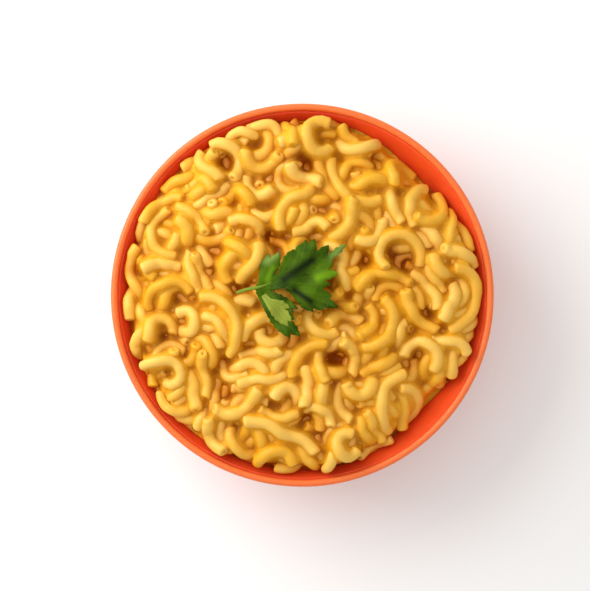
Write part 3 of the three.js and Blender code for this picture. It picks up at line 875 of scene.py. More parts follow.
BENEATH = [
    Curl((-45, 69), (-43, 57), 40),
    Curl((-33, 72), (-22, 80), -120),
    Curl((-27, 85), (-14, 83), -60),
    Curl((-66, 50), (-50, 61), -40),
    Curl((-66, 36), (-57, 20), -60),
    Curl((-60, 40), (-47, 28), -50),
    Curl((-88, 20), (-75, 9), -30),
    Curl((-35, 37), (-22, 30), -150),
    Curl((-48, 20), (-44, 4), 30),
    Curl((6, 80), (19, 82), -60),
    Curl((8, 66), (18, 48), 20),
    Curl((23, 50), (41, 56), -50),
    Curl((27, 32), (39, 36), 120),
    Curl((0, 29), (14, 31), -160),
    Curl((79, 40), (84, 20), -35),
    Curl((57, 36), (68, 15), -60),
    Curl((25, -19), (36, -6), 60),
    Curl((13, -26), (13, -41), 20),
    Curl((37, -26), (28, -39), -60),
    Curl((21, -45), (24, -62), 12),
    Curl((43, -69), (28, -79), -30),
    Curl((24, -59), (36, -73), -45),
    Curl((48, -42), (45, -69), -85),
    Curl((72, 5), (69, -13), -50),
    Curl((4, -68), (8, -86), 25),
    Curl((22, -75), (9, -90), -25),
    Curl((26, -57), (39, -60), -30),
    Curl((-85, 4), (-80, -13), 75),
    Curl((-76, -17), (-79, -28), 130),
    Curl((-77, -34), (-63, -23), 20),
    Curl((-70, -38), (-56, -27), -80),
    Curl((-60, -37), (-49, -26), 20),
    Curl((-64, -48), (-52, -61), 100),
    Curl((-57, -37), (-52, -58), 25),
    Curl((-41, -43), (-49, -58), -35),
    Curl((-49, -11), (-41, -25), -60),
    Curl((-40, -31), (-26, -33), 110),
    Curl((-28, -32), (-10, -29), -85),
    Curl((-33, -46), (-21, -54), -75),
    Curl((-34, -64), (-21, -80), 50),
    Curl((-22, -60), (-18, -79), 25),
    Curl((-16, -64), (-9, -81), 35),
    Curl((-30, -64), (-40, -82), -25),
    Curl((-38, -52), (-38, -71), 20),
    Curl((12, -20), (29, -11), -40),
    Curl((66, -34), (55, -44), -230),
    Curl((31, 3), (51, 4), -140),
    Curl((70, 40), (90, 37), 30),
    Curl((-27, 58), (-14, 50), 40),
    Curl((-46, 34), (-34, 31), 60),
]


@dataclass(frozen=True)
class Kind:
    """How common a kind of scattered piece is, and how its length and radius differ."""

    up_to: float
    shorter: float = 0.0
    scale: float = 1.0
    wider: float = 0.0


class Bend(Enum):
    """The kinds of scattered piece, each drawn where a number is less than its up_to."""

    TIGHT = Kind(up_to=0.66, scale=0.85, wider=-0.4)
    ELBOW = Kind(up_to=0.84, shorter=5.0, wider=1.0)
    SLACK = Kind(up_to=0.87, shorter=8.0, scale=2.6)
    DOUBLE = Kind(up_to=1.0)

    @classmethod
    def drawn(cls, number: float) -> "Bend":
        """The kind that a number from 0 to 1 stands for."""
        return next(bend for bend in cls if number < bend.value.up_to)


@dataclass
class Heap:
    """The loose pieces of macaroni, scattered over the bed and settled in the bowl."""

    bowl: Bowl
    bed: Bed = field(default_factory=Bed)
    seed: int = SEED
    layers: int = 3
    pieces_a_layer: int = 84
    layer_step: float = 5.5
    drop: float = 4.0
    spread: float = 92.0
    shy_spread: float = 20.0
    layer_turn: float = 2.1
    angle_range: float = 0.5
    reach_range: float = 3.0
    length: float = 27.0
    length_range: float = 8.0
    bend_radius: float = 7.5
    bend_radius_range: float = 3.0
    unevenness: float = 0.5
    pitch_range: float = 0.5
    roll_range: float = 0.9
    steep_share: float = 0.3
    placed_tilt: float = 1.5
    placed_arch: float = 2.0
    most_covered: int = 3
    rounds: int = 150
    slow_after: int = 120
    fall: float = 0.22
    slow_fall: float = 0.066
    passes: int = 3
    look_every: int = 6
    look_ahead: float = 1.5
    squash: float = 0.93
    push: float = 0.4
    crowding: float = 0.55
    bed_sink: float = 1.6
    wall_clearance: float = 1.2
    grip: float = 0.7
    stiffness: tuple[float, ...] = (1.0, 0.6, 0.35, 0.25)
    beads: Array = field(default_factory=lambda: np.zeros((0, BEADS, 3)))
    radii: Array = field(default_factory=lambda: np.zeros(0))

    def drawn_piece(self, draw: Callable[[], float]) -> Array:
        """A tight curl, an elbow, a slack one or an S, about its own middle.

        Args:
            draw: Gives the next random number.

        Returns:
            Its beads.
        """
        bend = Bend.drawn(draw())
        length = self.length + self.length_range * draw() - bend.value.shorter
        radius = self.bend_radius + self.bend_radius_range * draw()
        radius = radius * bend.value.scale + bend.value.wider
        begin = 1 - self.unevenness / 2 + self.unevenness * draw()
        pitch = (draw() - 0.5) * self.pitch_range
        step = length / LEGS
        k = np.arange(LEGS)
        side = np.where((bend is Bend.DOUBLE) & (2 * k >= LEGS), -1.0, 1.0)
        heading = np.cumsum(side * step / radius * (begin + (1 - begin) * 2 * k / (LEGS - 1)))
        leg = np.stack([np.cos(heading), np.sin(heading), np.full(LEGS, pitch)], 1) * step
        points = np.concatenate([np.zeros((1, 3)), np.cumsum(leg, 0)])
        return points - points.mean(0)

    def scatter(self) -> None:
        """Puts every piece above its place, the listed ones over the scattered ones."""
        draw = Stream(self.seed).draw
        placed, placed_radii = self._placed(draw)
        scattered, radii = self._scattered(draw, np.concatenate(placed)[:, :2])
        self.beads = np.array(scattered + placed)
        self.radii = np.array(radii + placed_radii)

    def _tube_radius(self, draw: Callable[[], float]) -> float:
        """The next piece's radius."""
        return TUBE_RADIUS + TUBE_RADIUS_RANGE * draw()

    def _placed(self, draw: Callable[[], float]) -> tuple[list[Array], list[float]]:
        """The listed pieces, tilted one way and the other by turns.

        Args:
            draw: Gives the next random number.

        Returns:
            The beads and the radius of each.
        """
        pieces, radii = [], []
        share = np.linspace(-1, 1, BEADS)
        for n, curl in enumerate(UPPERMOST + BENEATH):
            plan = curl.points()
            level = self.layers + 1 if n < len(UPPERMOST) else self.layers
            tilt = self.placed_tilt * share * (1 if n % 2 else -1) - self.placed_arch * share**2
            height = self.bed.height(plan[:, 0], plan[:, 1])
            z = height + self.drop + self.layer_step * level + tilt
            pieces.append(np.column_stack([plan, z]))
            radii.append(self._tube_radius(draw))
        return pieces, radii

    def _scattered(
        self, draw: Callable[[], float], covered: Array
    ) -> tuple[list[Array], list[float]]:
        """The other pieces, layer by layer, less the top ones that would lie under placed ones.

        Args:
            draw: Gives the next random number.
            covered: Places on the plan of the beads of the listed pieces.

        Returns:
            The beads and the radius of each.
        """
        pieces, radii = [], []
        for layer in range(self.layers):
            for k in range(self.pieces_a_layer):
                angle = k * math.pi * (3 - math.sqrt(5)) + layer * self.layer_turn
                angle += self.angle_range * draw()
                spread = self.spread - self.shy_spread * self.bed.shyness(angle)
                reach = spread * math.sqrt((k + 0.5) / self.pieces_a_layer)
                reach -= self.reach_range * draw()
                shape = self.drawn_piece(draw)
                radius = self._tube_radius(draw)
                steep = 2 if draw() < self.steep_share else 1
                yaw = 2 * math.pi * draw()
                pitch = (draw() - 0.5) * steep
                roll = (draw() - 0.5) * self.roll_range * steep
                place = np.array([reach * math.cos(angle), reach * math.sin(angle), 0.0])
                height = self.bed.height(place[0], place[1])
                place[2] = height + self.drop + self.layer_step * layer
                beads = shape @ turned(roll, pitch, yaw).T + place
                gaps = np.linalg.norm(beads[:, None, :2] - covered[None], axis=2)
                under = (gaps < 2 * TUBE_RADIUS).any(1).sum()
                if layer == self.layers - 1 and under > self.most_covered:
                    continue
                pieces.append(beads)
                radii.append(radius)
        return pieces, radii

    def settle(self) -> None:
        """Lets the pieces sink on to the bed and each other until they lie still."""
        count = len(self.beads)
        x = self.beads.reshape(-1, 3).copy()
        radii = np.repeat(self.radii, BEADS)
        owner = np.repeat(np.arange(count), BEADS)
        rest = [
            np.linalg.norm(self.beads[:, k + 1 :] - self.beads[:, : -k - 1], axis=2)
            for k in range(len(self.stiffness))
        ]
        reach = 2 * (TUBE_RADIUS + TUBE_RADIUS_RANGE) + self.look_ahead
        first = second = np.zeros(0, int)
        for turn in range(self.rounds):
            if turn % self.look_every == 0:
                first, second = self._near(x, owner, reach)
            before = x.copy()
            x[:, 2] -= self.fall if turn < self.slow_after else self.slow_fall
            for _ in range(self.passes):
                self._separate(x, radii, first, second)
                self._contain(x, radii)
                self._keep_shape(x.reshape(count, BEADS, 3), rest)
            x[:, :2] = before[:, :2] + (x[:, :2] - before[:, :2]) * self.grip
        self._contain(x, radii)
        self.beads = x.reshape(count, BEADS, 3)
        LOG.info("settled %d pieces", count)

    def _near(self, x: Array, owner: Array, reach: float) -> tuple[Array, Array]:
        """Pairs of beads of different pieces that may touch soon.

        Args:
            x: Places of the beads.
            owner: Number of each bead's piece.
            reach: Distance within which beads count as near.

        Returns:
            The number of each pair's first bead and of its second.
        """
        square = (x**2).sum(1)
        gap = square[:, None] + square[None] - 2 * x @ x.T
        close = (gap < reach * reach) & (owner[:, None] < owner[None])
        return np.nonzero(close)

    def _separate(self, x: Array, radii: Array, first: Array, second: Array) -> None:
        """Pushes touching beads apart, all at once.

        Args:
            x: Places of the beads, which are moved.
            radii: Radius of each bead.
            first: Number of each pair's first bead.
            second: Number of each pair's second bead.
        """
        gap = x[first] - x[second]
        distance = np.linalg.norm(gap, axis=1) + NEXT_TO_NOTHING
        overlap = (radii[first] + radii[second]) * self.squash - distance
        hit = overlap > 0
        push = gap[hit] * (self.push * overlap[hit] / distance[hit])[:, None]
        one, other = first[hit], second[hit]
        size = len(x)
        touches = np.bincount(one, minlength=size) + np.bincount(other, minlength=size)
        for axis in range(3):
            moved = np.bincount(one, push[:, axis], size) - np.bincount(other, push[:, axis], size)
            x[:, axis] += moved / np.maximum(1, self.crowding * touches)

    def _contain(self, x: Array, radii: Array) -> None:
        """Keeps beads off the wall and above the bed.

        Args:
            x: Places of the beads, which are moved.
            radii: Radius of each bead.
        """
        limit = self.bowl.inner_radius(x[:, 2]) - radii - self.wall_clearance
        reach = np.hypot(x[:, 0], x[:, 1])
        scale = np.where(reach > limit, limit / np.maximum(reach, NEXT_TO_NOTHING), 1.0)
        x[:, :2] *= scale[:, None]
        x[:, 2] = np.maximum(x[:, 2], self.bed.height(x[:, 0], x[:, 1]) + self.bed_sink)

    def _keep_shape(self, x: Array, rest: list[Array]) -> None:
        """Holds every piece near its own shape.

        Args:
            x: Places of the beads by piece, which are moved.
            rest: Each piece's own distances between beads one, two and more apart.
        """
        for k, stiffness in enumerate(self.stiffness):
            for i in range(BEADS - k - 1):
                gap = x[:, i + k + 1] - x[:, i]
                length = np.linalg.norm(gap, axis=1) + NEXT_TO_NOTHING
                move = gap * ((length - rest[k][:, i]) / length * 0.5 * stiffness)[:, None]
                x[:, i] += move
                x[:, i + k + 1] -= move

    def steps(self) -> Array:
        """Distance between beads, for each piece."""
        return np.linalg.norm(np.diff(self.beads, axis=1), axis=2).mean(1)

    def centre(self, t: Array) -> tuple[Array, Array]:
        """Places and directions along every piece, on a smooth curve through its beads.

        Args:
            t: Places along each piece, counted in beads: one row for all, or a row for each.

        Returns:
            The points and unit directions, by piece and place.
        """
        x = self.beads
        ends = [2 * x[:, :1] - x[:, 1:2], x, 2 * x[:, -1:] - x[:, -2:-1]]
        run = np.concatenate(ends, 1)
        t = np.broadcast_to(t, (len(x), t.shape[-1]))
        leg = np.clip(np.floor(t).astype(int), 0, LEGS - 1)
        s = (t - leg)[..., None]
        a, b, c, d = (np.take_along_axis(run, (leg + k)[..., None], 1) for k in range(4))
        e, f, g = c - a, 2 * a - 5 * b + 4 * c - d, 3 * b - a - 3 * c + d
        point = 0.5 * (2 * b + e * s + f * s**2 + g * s**3)
        return point, unit(e + 2 * f * s + 3 * g * s**2)


def turned(roll: float, pitch: float, yaw: float) -> Array:
    """A turn about X, then Y, then Z.

    Args:
        roll: Angle about X.
        pitch: Angle about Y.
        yaw: Angle about Z.

    Returns:
        The turn as a matrix.
    """
    cx, sx = math.cos(roll), math.sin(roll)
    cy, sy = math.cos(pitch), math.sin(pitch)
    cz, sz = math.cos(yaw), math.sin(yaw)
    about_x = np.array([[1, 0, 0], [0, cx, -sx], [0, sx, cx]])
    about_y = np.array([[cy, 0, sy], [0, 1, 0], [-sy, 0, cy]])
    about_z = np.array([[cz, -sz, 0], [sz, cz, 0], [0, 0, 1]])
    return about_z @ about_y @ about_x


@dataclass
class Relief:
    """Heights of the heap seen from above, on a fine square grid."""

    heap: Heap
    pitch: float = 0.5
    reach: float = 92.0
    bed_lift: float = 0.5
    stamps_a_leg: int = 8
    fillet: float = 1.2
    fillet_cells: int = 8
    broad_radius: float = 30.0
    broad_cells: int = 26
    deepest: float = 12.0
    top: Array = field(default_factory=lambda: np.zeros((0, 0)))
    filled: Array = field(default_factory=lambda: np.zeros((0, 0)))
    broad: Array = field(default_factory=lambda: np.zeros((0, 0)))

    def build(self) -> None:
        """Stamps every piece on to the bed, then fills the narrow valleys and the broad ones."""
        self.top = self._stamped(0.0)
        self.filled = closed(self._stamped(1.0), self.fillet, self.pitch, self.fillet_cells)
        self.broad = closed(self.top, self.broad_radius, self.pitch, self.broad_cells)

    def _stamped(self, short: float) -> Array:
        """Stamps every piece on to the bed.

        Args:
            short: How far short of a piece's ends its stamps stop, in its own radii.

        Returns:
            The heights.
        """
        axis = np.arange(-self.reach, self.reach + self.pitch, self.pitch)
        gx, gy = np.meshgrid(axis, axis)
        top = self.heap.bed.height(gx, gy) + self.bed_lift
        share = np.linspace(0, 1, LEGS * self.stamps_a_leg + 1)
        start = np.minimum(short * self.heap.radii / self.heap.steps(), LEGS / 2)[:, None]
        point, _ = self.heap.centre(start + (LEGS - 2 * start) * share)
        radius = np.repeat(self.heap.radii, point.shape[1])
        flat = point.reshape(-1, 3)
        column = np.round((flat[:, :2] + self.reach) / self.pitch).astype(int)
        span = int(math.ceil((TUBE_RADIUS + TUBE_RADIUS_RANGE) / self.pitch)) + 1
        for i in range(-span, span + 1):
            for j in range(-span, span + 1):
                at = np.clip(column + [i, j], 0, len(axis) - 1)
                off = axis[at] - flat[:, :2]
                inside = radius**2 - (off**2).sum(1)
                ok = inside > 0
                z = flat[ok, 2] + np.sqrt(inside[ok])
                np.maximum.at(top, (at[ok, 1], at[ok, 0]), z)
        return top

    def at(self, grid: Array, x: Array, y: Array) -> Array:
        """A grid's value between its points.

        Args:
            grid: One of the height grids.
            x: Places across.
            y: Places up the plan.

        Returns:
            The value at each place.
        """
        last = len(grid) - 1.001
        u = np.clip((x + self.reach) / self.pitch, 0, last)
        v = np.clip((y + self.reach) / self.pitch, 0, last)
        i, j = u.astype(int), v.astype(int)
        a, b = u - i, v - j
        low = grid[j, i] * (1 - a) + grid[j, i + 1] * a
        high = grid[j + 1, i] * (1 - a) + grid[j + 1, i + 1] * a
        return low * (1 - b) + high * b

    def depth(self, points: Array) -> Array:
        """How far points lie below the heap's broad surface, from 0 to 1, which the materials turn
        into painted shade.
        """
        broad = self.at(self.broad, points[:, 0], points[:, 1])
        return np.clip((broad - points[:, 2]) / self.deepest, 0, 1)


def closed(grid: Array, radius: float, pitch: float, cells: int) -> Array:
    """Fills the valleys that a round-bottomed tool can't reach into.

    Args:
        grid: Heights.
        radius: Radius of the tool's tip.
        pitch: Distance between the grid's points.
        cells: How many points the tool reaches over to each side.

    Returns:
        The filled heights.
    """
    drop = (np.arange(-cells, cells + 1) * pitch) ** 2 / (2 * radius)
    for sign in (1, -1):
        for axis in (0, 1):
            pad = [(cells, cells) if a == axis else (0, 0) for a in (0, 1)]
            padded = np.pad(grid * sign, pad, mode="edge")
            size = grid.shape[axis]
            runs = [
                np.take(padded, np.arange(k, k + size), axis=axis) - drop[k]
                for k in range(2 * cells + 1)
            ]
            grid = np.max(runs, axis=0) * sign
    return grid


@dataclass
class Macaroni:
    """Every piece as a closed tube with rounded, slanted ends and a short bore in each."""

    heap: Heap
    relief: Relief
    sides: int = 12
    rings: int = 13
    finish: CookedPasta = field(default_factory=CookedPasta)
    # The open end, from the bore's bottom out to the full tube: (mm along, share of the radius)
    end: tuple[tuple[float, float], ...] = (
        (1.3, 0.12),
        (0.5, 0.2),
        (0.1, 0.34),
        (0.0, 0.52),
        (0.14, 0.74),
        (0.5, 0.91),
        (1.2, 1.0),
    )
    rounding: float = 1.9
    lean: float = 0.28
    lean_reach: float = 1.8
    oval: float = 0.07
    # The dents along a tube: their strength, and how they turn along it and round it
    dents: tuple[tuple[float, float, int], ...] = (
        (0.035, 0.28, 0),
        (0.025, 0.62, 1),
        (0.02, 1.1, -2),
    )
    hidden_depth: float = 1.2
    least_seen: float = 0.02

    def _stations(self) -> tuple[Array, Array]:
        """Where the rings of every tube lie.

        Returns:
            The distance of each ring along its piece, and its share of the piece's radius.
        """
        length = self.heap.steps()[:, None] * LEGS
        start = np.array([along for along, _ in self.end]) + 0 * length
        body = self.rounding + (length - 2 * self.rounding) * np.linspace(0, 1, self.rings)
        share = np.array([share for _, share in self.end])
        share = np.concatenate([share, np.ones(self.rings), share[::-1]])
        return np.concatenate([start, body, length - start[:, ::-1]], 1), share

    def _tubes(self, rng: np.random.Generator) -> Array:
        """Sweeps every tube, a little oval and dented, with its ends slanted.

        Args:
            rng: Gives the random numbers.

        Returns:
            The points by piece, ring by ring, and then the middles of its two ends.
        """
        heap = self.heap
        step = heap.steps()[:, None]
        arc, share = self._stations()
        point, along = heap.centre(arc / step)
        middle = heap.beads - heap.beads.mean(1, keepdims=True)
        plane = np.linalg.svd(middle)[2][:, 2][:, None]
        up = unit(plane - (plane * along).sum(2, keepdims=True) * along)
        count = len(heap.beads)
        theta = ring_angles(self.sides)
        oval = rng.uniform(-self.oval, self.oval, (count, 1, 1))
        phase = rng.uniform(0, 2 * math.pi, (len(self.dents) + 1, count, 1, 1))
        run = arc[..., None]
        uneven = 0.0
        for (strength, rate, turns), begin in zip(self.dents, phase):
            uneven = uneven + strength * np.sin(rate * run + turns * theta + begin)
        radius = (heap.radii[:, None] * share)[..., None]
        radius = radius * (1 + uneven + oval * np.cos(2 * theta + phase[-1]))
        lean = rng.uniform(-self.lean, self.lean, (2, count, 1, 2))
        slant = 0.0
        for tilt, reach in zip(lean, (run, (step * LEGS)[..., None] - run)):
            across = tilt[..., :1] * np.cos(theta) + tilt[..., 1:] * np.sin(theta)
            slant = slant + np.exp(-((reach / self.lean_reach) ** 2)) * across
        points = tube_points(point, up, np.cross(along, up), radius)
        points = points + (slant * radius)[..., None] * along[:, :, None]
        return np.concatenate([points.reshape(count, -1, 3), point[:, [0, -1]]], 1)

    def _seen(self, every: Array) -> Array:
        """Numbers of the pieces that reach the heap's surface anywhere.

        Args:
            every: Points by piece.

        Returns:
            The numbers, from first to last.
        """
        top = self.relief.at(self.relief.top, every[..., 0], every[..., 1])
        share = (every[..., 2] > top - self.hidden_depth).mean(1)
        return np.nonzero(share > self.least_seen)[0]

    def build(self) -> bpy.types.Object:
        """Makes one mesh of the tubes that can be seen.

        Returns:
            The dressed macaroni.
        """
        rng = np.random.default_rng(SEED)
        every = self._tubes(rng)
        count, size = every.shape[:2]
        keep = self._seen(every)
        parts = tube_faces(2 * len(self.end) + self.rings, self.sides)
        faces: list[list[int]] = []
        for n in range(len(keep)):
            for part in parts:
                faces += (part + n * size).tolist()
        shown = every[keep].reshape(-1, 3)
        piece = mesh_object("macaroni_pieces", shown, faces)
        store(piece, "piece", np.repeat(rng.random(count)[keep], size))
        # Distance below the heap's broad surface, which the material turns into painted shade
        store(piece, "depth", self.relief.depth(shown))
        declare(piece, "macaroni", self.finish.material())
        return piece


@dataclass
class Sauce:
    """The heap's core, with the cheese sauce that fills between the pieces as its top."""

    heap: Heap
    relief: Relief
    bowl: Bowl
    cells: int = 280
    gap: float = 0.7
    below: float = 0.8
    bed_cover: float = 1.5
    edge_steps: int = 120
    edge_step: float = 0.25
    rim_share: float = 0.955
    edge_share: float = 0.9999
    skirt: int = 6
    skirt_end: float = 0.6
    finish: CheeseSauce = field(default_factory=CheeseSauce)

    def edge(self, angle: Array) -> tuple[Array, Array]:
        """Where the core's top meets the wall.

        Args:
            angle: Directions from the middle.

        Returns:
            The radius and height there.
        """
        height = np.full(angle.shape, self.bowl.ledge_height)
        for _ in range(self.edge_steps):
            radius = self.bowl.inner_radius(height) - self.gap
            bed = self.heap.bed.height(radius * np.cos(angle), radius * np.sin(angle))
            height = np.where(bed + self.bed_cover < height, height - self.edge_step, height)
        return self.bowl.inner_radius(height) - self.gap, height

    def _top(self) -> Array:
        """Lays a square grid over the round heap, its border on the wall.

        Returns:
            The points, by row and column.
        """
        axis = np.linspace(-1, 1, self.cells + 1)
        u, v = np.meshgrid(axis, axis)
        x, y = u * np.sqrt(1 - v * v / 2), v * np.sqrt(1 - u * u / 2)
        edge_radius, edge_height = self.edge(np.arctan2(y, x))
        share = np.hypot(x, y)
        x, y = x * edge_radius, y * edge_radius
        z = self.relief.at(self.relief.filled, x, y) - self.below
        rim = smooth_step(share, self.rim_share, 1.0)
        z = z * (1 - rim) + np.minimum(z, edge_height) * rim
        z = np.where(share > self.edge_share, edge_height, z)
        return np.stack([x, y, z], -1)

    def _underside(self, ring: Array, rim: Array, size: int) -> tuple[list[Array], list[Array]]:
        """Closes the core along the wall and the floor.

        Args:
            ring: Numbers of the points round the top's border.
            rim: Places of those points.
            size: How many points the top has.

        Returns:
            The points and the faces, ring by ring down to the one in the middle.
        """
        points, faces = [], []
        reach = np.hypot(rim[:, 0], rim[:, 1])
        for k in range(1, self.skirt + 1):
            radius = reach * (1 - k / (self.skirt + self.skirt_end))
            low = self.bowl.inner_height(radius + self.gap) + self.gap
            scale = (radius / reach)[:, None]
            points.append(np.column_stack([rim[:, :2] * scale, np.minimum(low, rim[:, 2] - k)]))
            after = size + np.arange(len(ring))
            faces.append(np.stack([ring, after, np.roll(after, -1), np.roll(ring, -1)], -1))
            ring, size = after, size + len(ring)
        points.append(np.array([[0.0, 0.0, self.bowl.floor_height + self.gap]]))
        faces.append(np.stack([ring, np.full(len(ring), size), np.roll(ring, -1)], -1))
        return points, faces

    def build(self) -> bpy.types.Object:
        """Makes the top and closes it underneath.

        Returns:
            The dressed sauce.
        """
        grid = self._top()
        top = grid.reshape(-1, 3)
        number = np.arange(len(top)).reshape(grid.shape[:2])
        a, b = number[:-1, :-1], number[:-1, 1:]
        c, d = number[1:, 1:], number[1:, :-1]
        sides = [number[0, :-1], number[:-1, -1], number[-1, :0:-1], number[:0:-1, 0]]
        loop = np.concatenate(sides)
        below, closing = self._underside(loop, top[loop], len(top))
        faces: list[list[int]] = []
        for part in [np.stack([a, b, c, d], -1).reshape(-1, 4), *closing]:
            faces += part.tolist()
        every = np.concatenate([top, *below])
        piece = mesh_object("cheese_sauce", every, faces)
        # Distance below the heap's broad surface, which the material turns into painted shade
        store(piece, "depth", self.relief.depth(every))
        declare(piece, "macaroni", self.finish.material())
        return piece


# Parsley

# A lobe's outline and veins: widths and places as shares of the lobe, distances in millimetres
BASE_WIDTH = 0.45
WIDEST = 0.55
TIP_POWER = 2.2
TOOTH_RATE = 2.1
VEIN_PITCH = 2.3
VEIN_SLANT = 1.1
BRANCH_STRENGTH = 0.55


@dataclass(frozen=True)
class Line:
    """A straight stretch on the plan, in millimetres."""

    start: Place
    end: Place

    def across(self, x: Array, y: Array) -> tuple[Array, Array, float]:
        """Where points lie beside the line.

        Args:
            x: Places across the plan.
            y: Places up the plan.

        Returns:
            The share along it, the signed distance from it, and its length.
        """
        dx, dy = self.end[0] - self.start[0], self.end[1] - self.start[1]
        length = math.hypot(dx, dy)
        along = ((x - self.start[0]) * dx + (y - self.start[1]) * dy) / length**2
        off = ((y - self.start[1]) * dx - (x - self.start[0]) * dy) / length
        return along, off, length


@dataclass(frozen=True)
class Lobe(Line):
    """One lobe of the leaf, from its base to its tip."""

    half_width: float

    def depth(self, x: Array, y: Array, teeth: float) -> Array:
        """How far inside the lobe points lie.

        Args:
            x: Places across the plan.
            y: Places up the plan.
            teeth: How far the teeth on its edge stand out.

        Returns:
            The distance to its edge, less than zero outside.
        """
        along, off, length = self.across(x, y)
        widening = BASE_WIDTH + (1 - BASE_WIDTH) * np.clip(along / WIDEST, None, 1)
        narrowing = 1 - np.clip((along - WIDEST) / (1 - WIDEST), 0, 1) ** TIP_POWER
        tooth = teeth * np.sin(along * length * TOOTH_RATE + np.sign(off))
        tooth = tooth * smooth_step(along, 0.3, 0.6)
        beyond = np.maximum(-along, along - 1) * length
        inside = self.half_width * widening * narrowing + tooth * narrowing - np.abs(off)
        return np.where(beyond > 0, -np.hypot(beyond, off), inside)

    def veins(self, x: Array, y: Array) -> Array:
        """Strength of the lobe's veins: its midrib and its slanting side veins.

        Args:
            x: Places across the plan.
            y: Places up the plan.

        Returns:
            The strength at each place, from 0 to 1.
        """
        along, off, length = self.across(x, y)
        off = np.abs(off)
        within = smooth_step(along, -0.02, 0.05) * (1 - smooth_step(along, 0.8, 0.98))
        midrib = 1 - smooth_step(off, 0.1, 0.34)
        phase = (along * length - VEIN_SLANT * off) / VEIN_PITCH
        side = np.abs(phase - np.round(phase)) * VEIN_PITCH
        branch = (1 - smooth_step(side, 0.05, 0.26)) * BRANCH_STRENGTH
        branch *= 1 - smooth_step(off, self.half_width * 0.7, self.half_width)
        return np.maximum(midrib, branch) * within


@dataclass(frozen=True)
class Patch(Line):
    """A stretch of the leaf with a patch of colour, which fades away on both sides: the leaf's
    painted shade, painted light and paler tips are made of these.
    """

    reach: float

    def nearness(self, x: Array, y: Array) -> Array:
        """How near points lie to the patch's line.

        Args:
            x: Places across the plan.
            y: Places up the plan.

        Returns:
            1 on the line, fading to 0 away from it.
        """
        share = np.clip(self.across(x, y)[0], 0, 1)
        near_x = self.start[0] + share * (self.end[0] - self.start[0])
        near_y = self.start[1] + share * (self.end[1] - self.start[1])
        return np.exp(-((np.hypot(x - near_x, y - near_y) / self.reach) ** 2))


LOBES = [
    Lobe((-20.5, 4.6), (-16.2, 20.4), 2.7),
    Lobe((-19.5, 4.6), (-11, 21.2), 3.2),
    Lobe((-22, 3), (6, 13), 4.6),
    Lobe((-11, 9), (-4.1, 22.6), 2.6),
    Lobe((-6, 9), (-0.6, 25.4), 2.7),
    Lobe((-3, 9), (2, 27.4), 2.7),
    Lobe((-1, 9), (6, 27.6), 3.6),
    Lobe((2, 10), (12.9, 24.6), 3.2),
    Lobe((2, 10), (15, 17.5), 4),
    Lobe((8, 14), (21.8, 25.4), 1.7),
    Lobe((-6, 8), (17.8, 10.8), 3.4),
    Lobe((-6, 6), (14.2, 5.2), 2.6),
    Lobe((-8, 4), (17.8, -6), 3.4),
    Lobe((-3, 2.6), (14.6, -0.6), 3),
    Lobe((-5, 3.4), (10.8, -7.2), 3),
    Lobe((-6, 3), (5.4, -8.2), 2.4),
    Lobe((-22.5, 3.4), (-1.9, -6.7), 2.5),
    Lobe((-13, -1.6), (-4.6, -8.2), 1.8),
    Lobe((-21.5, 2.4), (-5.8, -21), 3.6),
    Lobe((-13, -8.5), (-1, -20), 2.7),
    Lobe((-12, -7), (-3.8, -11.8), 2.2),
]
TURNED_LOBES = [
    Lobe((-19, 0.2), (-6.8, -15.2), 2.9),
    Lobe((-15, -3), (-5.2, -12.8), 2.4),
    Lobe((-16, -2.4), (-6, -6.2), 2),
]
STEM = [(-32.3, 1.1), (-27.0, 2.9), (-21.5, 3.8), (-15.0, 6.2)]

# Where painted shade, painted light and the paler tips lie on the leaf: a line on the plan and the
# half width of the patch
TONES = {
    "shaded": [Patch((-9.0, 7.5), (4.5, 17.0), 2.6), Patch((-4.0, 2.5), (4.0, -3.0), 1.8)],
    "painted_light": [Patch((8.0, 8.5), (16.5, 11.0), 2.6), Patch((-17.0, 7.5), (-14.5, 13.5), 1.5)],
    "pale_tip": [Patch((15.5, 19.0), (20.0, 24.0), 2.4), Patch((-17.0, 16.5), (-13.0, 19.5), 2.2)],
}


def border_of(triangles: Array) -> Array:
    """The edges that belong to one triangle alone.

    Args:
        triangles: Point numbers of each triangle.

    Returns:
        The two point numbers of each edge, in its triangle's direction.
    """
    edges = np.concatenate([triangles[:, [0, 1]], triangles[:, [1, 2]], triangles[:, [2, 0]]])
    size = triangles.max() + 1
    back = edges[:, 1] * size + edges[:, 0]
    return edges[~np.isin(edges[:, 0] * size + edges[:, 1], back)]


def without_pinches(triangles: Array) -> Array:
    """Takes away triangles until the border nowhere meets itself at a point.

    Args:
        triangles: Point numbers of each triangle.

    Returns:
        The triangles that are left.
    """
    while True:
        starts, count = np.unique(border_of(triangles)[:, 0], return_counts=True)
        if count.max() == 1:
            return triangles
        triangles = triangles[~np.isin(triangles, starts[count > 1]).any(1)]


